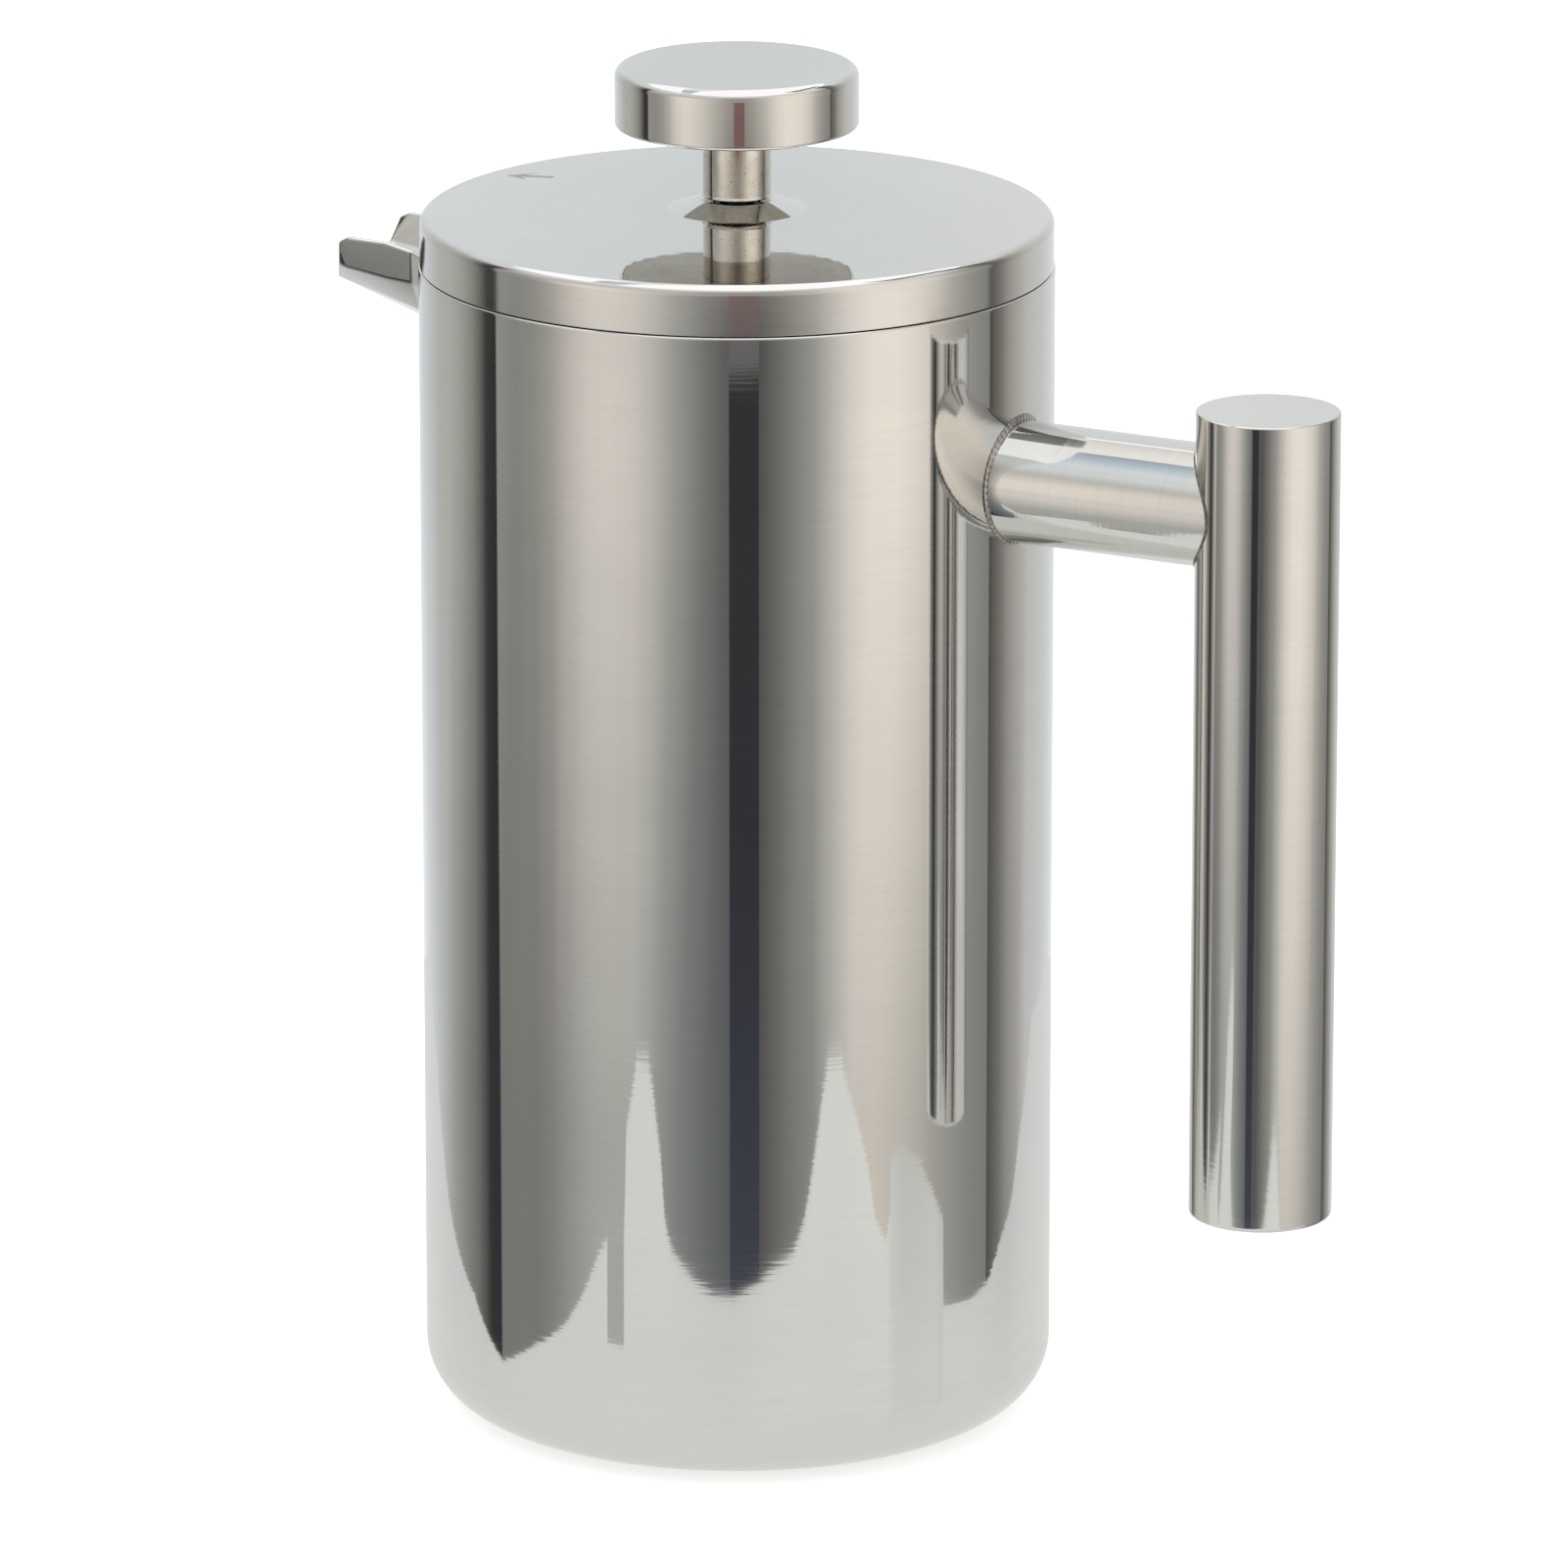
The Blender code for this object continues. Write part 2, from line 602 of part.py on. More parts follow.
def build():
    clear_scene()
    polished = material("polished_steel", (0.78, 0.77, 0.75), 0.16, 1.0)
    satin = material("satin_steel", (0.66, 0.66, 0.65), 0.34, 1.0)
    weld = material("weld_bead", (0.34, 0.30, 0.26), 0.45, 1.0)
    wire = material("woven_wire", (0.60, 0.60, 0.59), 0.40, 1.0)
    silicone = material("silicone", (0.72, 0.73, 0.72), 0.55, 0.0)

    pot = empty("pot_frame", (0, 0, 0))
    lid = empty("lid_axis", (0, 0, 0))
    plunger = empty("plunger_axis", (0, 0, 0))

    for piece in (make_outer_shell(), make_base_plate(), make_spout(), make_arm(), make_grip()):
        finish_object(piece, polished, pot)
    finish_object(make_inner_liner(), satin, pot)
    top_cap = make_grip_cap("grip_top_cap", GRIP_TOP - CAP_THICKNESS, GRIP_TOP, GRIP_TOP_EDGE)
    bottom_cap = make_grip_cap("grip_bottom_cap", GRIP_BOTTOM + CAP_THICKNESS, GRIP_BOTTOM, GRIP_BOTTOM_EDGE)
    finish_object(top_cap, polished, pot)
    finish_object(bottom_cap, polished, pot)
    finish_object(make_bead("arm_pot_weld", 0, POT_RADIUS, 1), weld, pot)
    finish_object(make_bead("arm_grip_weld", GRIP_REACH, GRIP_RADIUS, -1), weld, pot)

    bush_nut_top = LID_TOP - WALL - BUSH_SHOULDER - GAP
    bush_nut_bottom = bush_nut_top - BUSH_NUT_HEIGHT
    finish_object(make_lid_shell(), polished, lid)
    finish_object(make_lid_skirt(), satin, lid)
    finish_object(make_strainer(), satin, lid)
    finish_object(make_lid_seal(), silicone, lid)
    finish_object(make_rod_bush(), satin, lid)
    bush_nut = hexagon("bush_nut", BUSH_NUT_FLATS, BUSH_RADIUS + GAP, bush_nut_bottom, bush_nut_top)
    finish_object(bush_nut, satin, lid)

    spreader_bottom = SCREEN_BOTTOM + SCREEN_THICKNESS + GAP
    collar_bottom = spreader_bottom + PLATE_THICKNESS + GAP
    spring_height = SCREEN_BOTTOM + SCREEN_THICKNESS + SPRING_COIL_RADIUS + GAP + 0.0007
    cross_top = SCREEN_BOTTOM - GAP
    hub_nut_top = cross_top - PLATE_THICKNESS - GAP
    for piece in (make_knob_shell(), make_knob_underplate(), make_neck()):
        finish_object(piece, polished, plunger)
    finish_object(make_knob_hub(), satin, plunger)
    finish_object(make_rod(), polished, plunger)
    finish_object(make_rod_collar(collar_bottom), satin, plunger)
    finish_object(make_spreader(spreader_bottom), satin, plunger)
    finish_object(make_edge_spring(spring_height), wire, plunger)
    finish_object(make_screen(), wire, plunger)
    finish_object(make_cross_plate(cross_top), satin, plunger)
    hub_nut = hexagon("hub_nut", HUB_NUT_FLATS, ROD_BORE, hub_nut_top - HUB_NUT_HEIGHT, hub_nut_top)
    finish_object(hub_nut, satin, plunger)


build()
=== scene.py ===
"""The looks of a polished double-wall french press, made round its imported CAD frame.

Metres, +Z up, the handle towards +X and the spout towards -X. The turned pieces are spun again here with
fine outlines, because polished steel shows every flat of a coarse mesh.
"""

import math
import random

import bmesh
import bpy
from mathutils import Matrix, Vector


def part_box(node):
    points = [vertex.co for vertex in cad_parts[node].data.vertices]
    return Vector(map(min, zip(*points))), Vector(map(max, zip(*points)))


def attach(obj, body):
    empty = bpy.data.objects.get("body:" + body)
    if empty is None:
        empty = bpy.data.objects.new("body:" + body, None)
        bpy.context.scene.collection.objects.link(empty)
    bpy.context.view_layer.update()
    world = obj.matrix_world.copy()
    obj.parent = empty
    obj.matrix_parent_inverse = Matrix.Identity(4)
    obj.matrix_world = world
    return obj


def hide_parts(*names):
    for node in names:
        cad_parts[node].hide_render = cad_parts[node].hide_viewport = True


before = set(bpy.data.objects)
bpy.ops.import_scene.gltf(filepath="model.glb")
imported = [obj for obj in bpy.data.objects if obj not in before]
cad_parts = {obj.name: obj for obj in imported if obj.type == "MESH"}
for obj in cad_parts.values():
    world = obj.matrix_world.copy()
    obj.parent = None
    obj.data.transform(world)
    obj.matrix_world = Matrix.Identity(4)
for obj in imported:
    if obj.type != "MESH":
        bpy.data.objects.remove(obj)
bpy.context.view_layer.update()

MM = 0.001
GAP = 0.0003  # play between pieces that don't touch
WALL = 0.0008  # sheet thickness of the pot, the lid and the knob
ROUND = 256  # flats round a turned piece
ROUND_LARGE = 2 * ROUND  # round the pot and the lid
ROUND_SMALL = 128  # round the thin pieces in the middle


def top_of(node):
    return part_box(node)[1].z


def bottom_of(node):
    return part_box(node)[0].z


def radius_of(node):
    """Half the node's width along Y, which the handle and the spout don't widen."""
    low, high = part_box(node)
    return (high.y - low.y) / 2


POT_RADIUS = radius_of("outer_shell")
POT_TOP = top_of("outer_shell")
POT_CORNER = 0.0104  # outer radius of the bend between wall and foot
LID_RADIUS = radius_of("lid_shell")
LID_BOTTOM = bottom_of("lid_shell")
LID_TOP = 0.1942  # at the lid's edge; its middle is crowned
LID_EDGE = 0.0015
CROWN_HEIGHT = 0.0010
SKIRT_RADIUS = 0.0436
KNOB_RADIUS = radius_of("knob_shell")
KNOB_TOP = top_of("knob_shell")
KNOB_BOTTOM = bottom_of("knob_shell")
NECK_LIP = 0.0002  # how far the foot of the neck stands out
NECK_RADIUS = radius_of("knob_neck") - NECK_LIP
ROD_RADIUS = radius_of("plunger_rod")
ROD_BORE = ROD_RADIUS + GAP
GRIP_REACH = (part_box("handle_grip")[0].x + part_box("handle_grip")[1].x) / 2
GRIP_RADIUS = radius_of("handle_grip")
GRIP_BOTTOM = bottom_of("grip_bottom_cap")
GRIP_TOP = top_of("grip_top_cap")
ARM_RADIUS = radius_of("handle_arm")
ARM_HEIGHT = (top_of("handle_arm") + bottom_of("handle_arm")) / 2
TUBE_WALL = 0.0010


# ---------------------------------------------------------------- camera and studio

VIEW_AZIMUTH = math.radians(28.28)
VIEW_ELEVATION = math.radians(15.71)
VIEW_TARGET = Vector((0.0065, 0.0035, 0.1013))
VIEW_DISTANCE = 1.979

# The studio is laid out from the camera's side: ACROSS is to its right, and TOWARDS is to the camera.
ACROSS = Vector((math.cos(VIEW_AZIMUTH), math.sin(VIEW_AZIMUTH), 0))
TOWARDS = Vector((math.sin(VIEW_AZIMUTH), -math.cos(VIEW_AZIMUTH), 0))


def studio_point(across, towards, height):
    return ACROSS * across + TOWARDS * towards + Vector((0, 0, height))


def on_ring(degrees, radius, height):
    """A point round the press, counted in degrees to the camera's right from the camera."""
    angle = math.radians(degrees)
    return studio_point(radius * math.sin(angle), radius * math.cos(angle), height)


def strip_faces(count):
    """The faces of a strip whose points come in pairs."""
    return [(2 * i, 2 * i + 1, 2 * i + 3, 2 * i + 2) for i in range(count - 1)]


def make_camera():
    lens = bpy.data.cameras.new("camera")
    lens.lens = 286.2
    lens.sensor_width = 36
    camera = bpy.data.objects.new("camera", lens)
    bpy.context.collection.objects.link(camera)
    back = TOWARDS * math.cos(VIEW_ELEVATION) + Vector((0, 0, math.sin(VIEW_ELEVATION)))
    camera.location = VIEW_TARGET + back * VIEW_DISTANCE
    camera.rotation_mode = "QUATERNION"
    camera.rotation_quaternion = (-back).to_track_quat("-Z", "Y")
    bpy.context.scene.camera = camera


def linear(value):
    """The light that a screen value from 0 to 255 stands for."""
    share = value / 255
    return share / 12.92 if share <= 0.04045 else ((share + 0.055) / 1.055) ** 2.4


STEEL_SHARE = 0.80  # how much of the light on it the polished steel gives back


def glow(colour):
    """The light of a panel whose reflection in the steel has this screen colour."""
    return [linear(value) / STEEL_SHARE for value in colour] + [1.0]


def emission_material(name):
    """Gives out the colours stored in the mesh."""
    made = bpy.data.materials.new(name)
    made.use_nodes = True
    nodes, links = made.node_tree.nodes, made.node_tree.links
    nodes.clear()
    stored = nodes.new("ShaderNodeVertexColor")
    stored.layer_name = "glow"
    emit = nodes.new("ShaderNodeEmission")
    out = nodes.new("ShaderNodeOutputMaterial")
    links.new(stored.outputs["Color"], emit.inputs["Color"])
    links.new(emit.outputs[0], out.inputs["Surface"])
    return made


def light_card(name, points, faces, colours, material):
    """A glowing sheet that only the polished steel sees."""
    mesh = bpy.data.meshes.new(name)
    mesh.from_pydata([tuple(p) for p in points], [], faces)
    layer = mesh.color_attributes.new("glow", "FLOAT_COLOR", "POINT")
    for i, colour in enumerate(colours):
        layer.data[i].color = glow(colour)
    mesh.materials.append(material)
    card = bpy.data.objects.new(name, mesh)
    bpy.context.collection.objects.link(card)
    card.visible_camera = False
    card.visible_diffuse = False
    card.visible_shadow = False
    card.visible_transmission = False
    return card


# The soft light tent round the press: a direction in degrees, as for on_ring, and the colours that the
# steel shows of the tent's high, middle and low part there.
TENT_RADIUS = 0.280
TENT_BANDS = (
    (-180, (197, 202, 203), (199, 204, 205), (222, 225, 227)),
    (-163, (206, 210, 211), (208, 212, 213), (224, 227, 229)),
    (-155, (200, 205, 208), (200, 205, 208), (217, 221, 225)),
    (-145, (192, 195, 197), (192, 195, 197), (203, 207, 210)),
    (-135, (182, 183, 185), (182, 183, 185), (190, 193, 196)),
    (-128, (171, 172, 168), (171, 172, 168), (178, 181, 180)),
    (-118, (168, 169, 164), (168, 169, 164), (151, 152, 148)),
    (-110, (155, 154, 149), (155, 154, 149), (132, 131, 127)),
    (-103, (134, 134, 128), (132, 132, 126), (112, 111, 108)),
    (-98, (100, 99, 96), (98, 97, 94), (82, 82, 80)),
    (-95, (60, 60, 59), (58, 58, 57), (52, 52, 52)),
    (-89.7, (48, 48, 49), (46, 46, 47), (46, 48, 52)),
    (-89.1, (142, 140, 134), (140, 141, 136), (116, 117, 114)),
    (-80, (140, 137, 132), (131, 130, 128), (118, 119, 117)),
    (-72, (152, 150, 144), (137, 137, 131), (118, 118, 116)),
    (-65, (178, 173, 165), (153, 152, 147), (129, 128, 126)),
    (-57, (212, 205, 195), (186, 181, 175), (147, 147, 144)),
    (-50, (222, 214, 203), (203, 198, 191), (160, 160, 156)),
    (-43, (220, 213, 202), (207, 202, 195), (164, 165, 160)),
    (-35, (208, 202, 192), (202, 196, 190), (164, 165, 161)),
    (-28, (196, 191, 182), (184, 182, 176), (148, 150, 146)),
    (-20, (180, 176, 168), (151, 151, 147), (124, 127, 126)),
    (-10, (162, 158, 150), (115, 114, 112), (102, 105, 107)),
    (-4, (150, 146, 139), (95, 94, 93), (90, 92, 95)),
    (8, (150, 146, 139), (82, 82, 80), (83, 83, 83)),
    (15, (162, 157, 149), (111, 110, 105), (108, 110, 107)),
    (25, (186, 181, 172), (147, 147, 142), (134, 135, 131)),
    (32, (206, 200, 191), (184, 182, 176), (168, 168, 163)),
    (38, (220, 213, 203), (212, 206, 199), (194, 191, 185)),
    (46, (226, 219, 208), (230, 222, 213), (198, 192, 183)),
    (55, (226, 219, 208), (230, 223, 212), (188, 184, 176)),
    (63, (220, 213, 204), (220, 213, 204), (175, 173, 165)),
    (70, (206, 200, 191), (204, 198, 189), (160, 158, 153)),
    (78, (175, 172, 165), (168, 165, 158), (146, 145, 140)),
    (86, (148, 146, 141), (144, 142, 137), (132, 132, 128)),
    (96, (128, 128, 125), (125, 126, 123), (122, 123, 121)),
    (96.4, (74, 74, 72), (68, 69, 69), (78, 78, 77)),
    (99, (98, 97, 92), (94, 92, 89), (92, 92, 89)),
    (103, (118, 115, 110), (116, 114, 109), (110, 109, 104)),
    (108, (148, 145, 140), (148, 145, 140), (138, 137, 133)),
    (115, (169, 167, 163), (168, 166, 162), (158, 156, 152)),
    (122, (183, 182, 178), (183, 182, 178), (184, 184, 182)),
    (135, (190, 191, 191), (190, 191, 191), (190, 193, 195)),
    (150, (202, 205, 206), (202, 205, 206), (206, 209, 211)),
    (163, (208, 211, 210), (208, 212, 212), (222, 225, 227)),
)
TENT_ABOVE = (204, 209, 209)  # the tent's top, all round but for the gap
TENT_SHADE = (183, 182, 178)  # a darker belt between its high part and its top
SHADE_START, SHADE_END = -80, -28
TENT_GAP = (92, 91, 88)  # a dark gap by the handle goes up to its top
GAP_START, GAP_END = 96.2, 110


def make_tent(material):
    """A round curtain whose colours run smoothly from band to band and from level to level."""
    points, colours, faces = [], [], []
    for degrees, high, middle, low in TENT_BANDS:
        belt = TENT_SHADE if SHADE_START <= degrees <= SHADE_END else high
        above = TENT_GAP if GAP_START <= degrees <= GAP_END else TENT_ABOVE
        levels = (
            (-0.30, low), (-0.015, low), (0.105, middle), (0.132, middle), (0.160, high), (0.220, high),
            (0.310, belt), (0.400, above), (0.480, above),
        )
        for height, colour in levels:
            points.append(on_ring(degrees, TENT_RADIUS, height))
            colours.append(colour)
    rows = len(levels)
    count = len(TENT_BANDS)
    for i in range(count):
        j = (i + 1) % count
        for k in range(rows - 1):
            faces.append((i * rows + k, j * rows + k, j * rows + k + 1, i * rows + k + 1))
    light_card("light_tent", points, faces, colours, material)


# The ceiling over the tent, as the arm's top shows it: at each Y its span along X and its colour.
CEILING_HEIGHT = 0.60
CEILING_STRIPS = (
    (0.300, (-0.235, -0.160), (206, 205, 201)),
    (0.160, (-0.205, -0.130), (221, 219, 214)),
    (0.030, (-0.190, -0.120), (230, 228, 223)),
    (-0.022, (-0.188, -0.120), (229, 228, 223)),
    (-0.030, (-0.188, -0.120), (152, 162, 172)),
    (-0.085, (-0.190, -0.120), (166, 178, 188)),
    (-0.190, (-0.205, -0.130), (190, 202, 210)),
    (-0.250, (-0.215, -0.140), (207, 212, 214)),
    (-0.420, (-0.260, -0.170), (208, 212, 212)),
)
# A dark patch of the ceiling by the handle: (across, towards, grey) points round its edge.
CEILING_SHADE = ((0.235, 0.110, 140), (0.360, 0.110, 140), (0.360, -0.170, 100), (0.275, -0.170, 100))


def make_ceiling(material):
    """A long strip that runs along Y on the spout's side, and a shade on the handle's side."""
    points, colours = [], []
    for y, span, colour in CEILING_STRIPS:
        for x in span:
            points.append(Vector((x, y, CEILING_HEIGHT)))
            colours.append(colour)
    light_card("light_ceiling", points, strip_faces(len(CEILING_STRIPS)), colours, material)
    points = [studio_point(across, towards, CEILING_HEIGHT) for across, towards, grey in CEILING_SHADE]
    colours = [(grey, grey - 1, grey - 3) for across, towards, grey in CEILING_SHADE]
    light_card("light_ceiling_shade", points, [(0, 1, 2, 3)], colours, material)


# A wide plain ring outside the tent. At rest the tent hides it; the lifted lid and knob show it.
BACKDROP_RADIUS = 1.20
BACKDROP_BOTTOM, BACKDROP_TOP = 0.25, 1.20
BACKDROP_SIDES = 48


def make_backdrop(material):
    points, faces = [], []
    for i in range(BACKDROP_SIDES):
        for height in (BACKDROP_BOTTOM, BACKDROP_TOP):
            points.append(on_ring(360 * i / BACKDROP_SIDES, BACKDROP_RADIUS, height))
        j = (i + 1) % BACKDROP_SIDES
        faces.append((2 * i, 2 * j, 2 * j + 1, 2 * i + 1))
    light_card("light_backdrop", points, faces, [TENT_ABOVE] * len(points), material)


def make_slit(material):
    """The dark slit in the tent's front, reddish at the top.

    The pot shows its lower part, which is cool and dark, the lid the pale part over that, and the neck and
    the knob the reddish part.
    """
    left, right, depth = -0.0095, 0.0285, 0.228
    levels = (
        (-0.20, (74, 78, 90)),
        (-0.02, (60, 64, 74)),
        (0.05, (49, 50, 55)),
        (0.134, (49, 48, 50)),
        (0.138, (98, 97, 98)),
        (0.147, (106, 104, 104)),
        (0.151, (112, 100, 100)),
        (0.155, (136, 84, 82)),
        (0.158, (140, 92, 88)),
        (0.161, (118, 89, 88)),
        (0.170, (116, 88, 87)),
        (0.174, (132, 122, 118)),
    )
    points, colours = [], []
    for height, colour in levels:
        for across in (left, right):
            points.append(studio_point(across, depth, height))
            colours.append(colour)
    light_card("light_slit", points, strip_faces(len(levels)), colours, material)


# The pale sheet that the press stands on, as the steel sees it: (across, towards, grey) points round its
# edge. The narrow notch in it is the dark strip low on the pot's left.
SHEET_EDGE = (
    (-0.002, 0.149, 202), (0.030, 0.160, 207), (0.051, 0.164, 208), (0.068, 0.176, 209),
    (0.095, 0.203, 210), (0.121, 0.227, 211), (0.147, 0.244, 211), (0.164, 0.251, 211),
    (0.158, 0.220, 211), (0.155, 0.185, 212), (0.146, 0.155, 212), (0.129, 0.129, 212),
    (0.126, 0.113, 211), (0.141, 0.117, 206), (0.167, 0.132, 198), (0.182, 0.123, 188),
    (0.184, 0.095, 190), (0.172, 0.072, 196), (0.160, 0.057, 188), (0.115, 0.050, 203),
    (0.118, 0.028, 203), (0.124, 0.008, 200), (0.140, -0.014, 192), (0.151, -0.039, 192),
    (0.172, -0.072, 196), (0.200, -0.150, 200), (0.150, -0.230, 203), (0.000, -0.260, 207),
    (-0.150, -0.230, 205), (-0.160, -0.150, 203), (-0.143, -0.090, 200), (-0.131, -0.056, 199),
    (-0.121, -0.026, 198), (-0.113, -0.004, 198), (-0.101, 0.011, 198), (-0.086, 0.028, 203),
    (-0.093, 0.048, 205), (-0.097, 0.071, 205), (-0.105, 0.093, 205), (-0.114, 0.115, 205),
    (-0.1156, 0.1293, 206), (-0.0741, 0.0926, 206), (-0.0645, 0.0981, 206), (-0.1035, 0.1415, 206),
    (-0.142, 0.190, 207), (-0.154, 0.231, 208), (-0.154, 0.251, 208), (-0.124, 0.233, 208),
    (-0.094, 0.203, 208), (-0.074, 0.174, 208), (-0.062, 0.163, 206), (-0.038, 0.154, 204),
    (-0.019, 0.149, 203),
)
SHEET_COLOUR = (205, 206, 202)  # the same all round close to the pot
SHEET_DEPTH = 0.0002  # how far the sheet lies under the press
FLOOR_DEPTH = 0.0004


def make_sheet(material):
    """Rows of faces from under the pot out to the sheet's edge.

    They run along the light's path, so each change of grey stands upright in the pot's wall.
    """
    points, colours = [], []
    for across, towards, grey in SHEET_EDGE:
        edge = studio_point(across, towards, 0)
        turn = math.atan2(across, towards)
        foot = turn / 2
        for _ in range(20):  # nears the place on the wall where this edge point shows
            foot = (turn + math.asin(POT_RADIUS / edge.length * math.sin(foot))) / 2
        wall = studio_point(math.sin(foot), math.cos(foot), 0)
        points += [wall * (0.1 * POT_RADIUS), wall * POT_RADIUS, edge]
        blue = grey - 3 if towards > 0 else grey + 2
        colours += [SHEET_COLOUR, SHEET_COLOUR, (grey, grey + 1, blue)]
    count = len(points)
    faces = []
    for i in range(0, count, 3):
        for k in (i, i + 1):
            faces.append((k, k + 1, (k + 4) % count, (k + 3) % count))
    sheet = light_card("light_sheet", points, faces, colours, material)
    sheet.location.z = -SHEET_DEPTH


def make_floor():
    """A plain pale floor. The steel sees the light sheet in its place."""
    size = 6.0
    mesh = bpy.data.meshes.new("floor")
    corners = [(-size, -size, 0), (size, -size, 0), (size, size, 0), (-size, size, 0)]
    mesh.from_pydata(corners, [], [(0, 1, 2, 3)])
    made = bpy.data.materials.new("floor_paint")
    made.use_nodes = True
    shader = made.node_tree.nodes["Principled BSDF"]
    shader.inputs["Base Color"].default_value = (0.86, 0.86, 0.86, 1)
    shader.inputs["Emission Color"].default_value = (1, 1, 1, 1)
    shader.inputs["Emission Strength"].default_value = 0.42
    shader.inputs["Roughness"].default_value = 0.9
    shader.inputs["Specular IOR Level"].default_value = 0.0
    mesh.materials.append(made)
    floor = bpy.data.objects.new("floor", mesh)
    floor.location.z = -FLOOR_DEPTH
    floor.visible_glossy = False
    bpy.context.collection.objects.link(floor)


def make_world():
    """Even white light from all round."""
    world = bpy.data.worlds.new("studio")
    world.use_nodes = True
    background = world.node_tree.nodes["Background"]
    background.inputs["Color"].default_value = (1.0, 1.0, 1.0, 1)
    background.inputs["Strength"].default_value = 1.25
    bpy.context.scene.world = world
    bpy.context.scene.view_settings.view_transform = "Standard"


# ---------------------------------------------------------------- node helpers


class Tree:
    """A short way to write a material's nodes."""

    def __init__(self, name, metallic=1.0):
        self.material = bpy.data.materials.new(name)
        self.material.use_nodes = True
        self.nodes = self.material.node_tree.nodes
        self.links = self.material.node_tree.links
        self.shader = self.nodes["Principled BSDF"]
        self.shader.inputs["Metallic"].default_value = metallic

    def node(self, kind, **settings):
        made = self.nodes.new("ShaderNode" + kind)
        for name, value in settings.items():
            setattr(made, name, value)
        return made

    def join(self, source, target):
        self.links.new(source, target)

    def math(self, operation, a, b=None):
        made = self.node("Math", operation=operation)
        for socket, value in zip(made.inputs, (a, b)):
            self.feed(socket, value)
        return made.outputs[0]

    def feed(self, socket, value):
        """Sets a socket to a number or joins it to a source."""
        if value is None:
            return
        if isinstance(value, (int, float)):
            socket.default_value = value
        else:
            self.join(value, socket)

    def span(self, value, low, high, start, end):
        """Maps a value's range from start to end onto low to high."""
        made = self.node("MapRange")
        for name, number in (("From Min", start), ("From Max", end), ("To Min", low), ("To Max", high)):
            made.inputs[name].default_value = number
        self.feed(made.inputs["Value"], value)
        return made.outputs["Result"]

    def noise(self, vector, scale, detail, roughness=0.5):
        made = self.node("TexNoise")
        made.inputs["Scale"].default_value = scale
        made.inputs["Detail"].default_value = detail
        made.inputs["Roughness"].default_value = roughness
        self.join(vector, made.inputs["Vector"])
        return made.outputs["Fac"]

    def mix_colours(self, share, first, second):
        made = self.node("Mix", data_type="RGBA")
        self.feed(made.inputs["Factor"], share)
        for name, value in (("A", first), ("B", second)):
            socket = [s for s in made.inputs if s.name == name and s.type == "RGBA"][0]
            if isinstance(value, tuple):
                socket.default_value = (*value, 1.0)
            else:
                self.join(value, socket)
        return [s for s in made.outputs if s.type == "RGBA"][0]

    def bump(self, height, distance):
        made = self.node("Bump")
        made.inputs["Distance"].default_value = distance
        self.join(height, made.inputs["Height"])
        return made.outputs["Normal"]

    def surface(self, colour, roughness, normal=None):
        """Joins the looks to the shader."""
        for name, source in (("Base Color", colour), ("Roughness", roughness), ("Normal", normal)):
            if source is not None:
                self.join(source, self.shader.inputs[name])
        return self.material

    def brushed(self, amount):
        """Spreads the highlights across marks that run round the Z axis."""
        self.shader.inputs["Anisotropic"].default_value = amount
        self.shader.inputs["Anisotropic Rotation"].default_value = 0.25
        tangent = self.node("Tangent", direction_type="RADIAL", axis="Z")
        self.join(tangent.outputs[0], self.shader.inputs["Tangent"])

    def around(self, length, thickness):
        """Coordinates for marks that run round the piece's own Z axis, without a seam.

        A noise of scale 1 on them has marks about this long and this thick, in metres.
        """
        place = self.node("TexCoord").outputs["Object"]
        parts = self.node("SeparateXYZ")
        self.join(place, parts.inputs[0])
        x, y, z = parts.outputs
        flat = self.math("SQRT", self.math("ADD", self.math("MULTIPLY", x, x), self.math("MULTIPLY", y, y)))
        radius = self.math("MAXIMUM", flat, 0.0005)
        level = self.math("MULTIPLY", self.math("ADD", z, flat), 1 / thickness)
        joined = self.node("CombineXYZ")
        for i, value in enumerate((x, y)):
            direction = self.math("DIVIDE", value, radius)
            reach = self.math("MULTIPLY", radius, 1 / length)
            self.join(self.math("MULTIPLY", direction, reach), joined.inputs[i])
        self.join(level, joined.inputs[2])
        return joined.outputs[0]


POLISHED_TINT = (0.80, 0.79, 0.775)


def polished_steel(name, roughness=0.045, side=None, lines=1.0):
    """Mirror-polished steel with fine hairlines round the piece, as a buffing wheel leaves them.

    Where the piece faces sideways its roughness can differ from that of its top.
    """
    tree = Tree(name)
    tree.brushed(0.7)
    streaks = tree.noise(tree.around(0.012, 0.0008), 1.0, detail=2.0, roughness=0.6)
    wear = tree.noise(tree.around(0.040, 0.012), 1.0, detail=3.0)
    tone = tree.span(tree.math("MULTIPLY", streaks, wear), 0.0, 1.0, 0.12, 0.40)
    darker = tuple(value * 0.96 for value in POLISHED_TINT)
    colour = tree.mix_colours(tone, darker, POLISHED_TINT)
    rough = tree.math("ADD", tree.span(wear, 0.85 * roughness, 1.15 * roughness, 0.3, 0.7),
                      tree.span(streaks, -0.008, 0.008, 0.3, 0.7))
    if side is not None:
        parts = tree.node("SeparateXYZ")
        tree.join(tree.node("TexCoord").outputs["Normal"], parts.inputs[0])
        upright = tree.math("ABSOLUTE", parts.outputs[2])
        rough = tree.math("ADD", rough, tree.span(upright, side - roughness, 0.0, 0.25, 0.85))
    return tree.surface(colour, rough, tree.bump(streaks, 0.0000045 * lines))


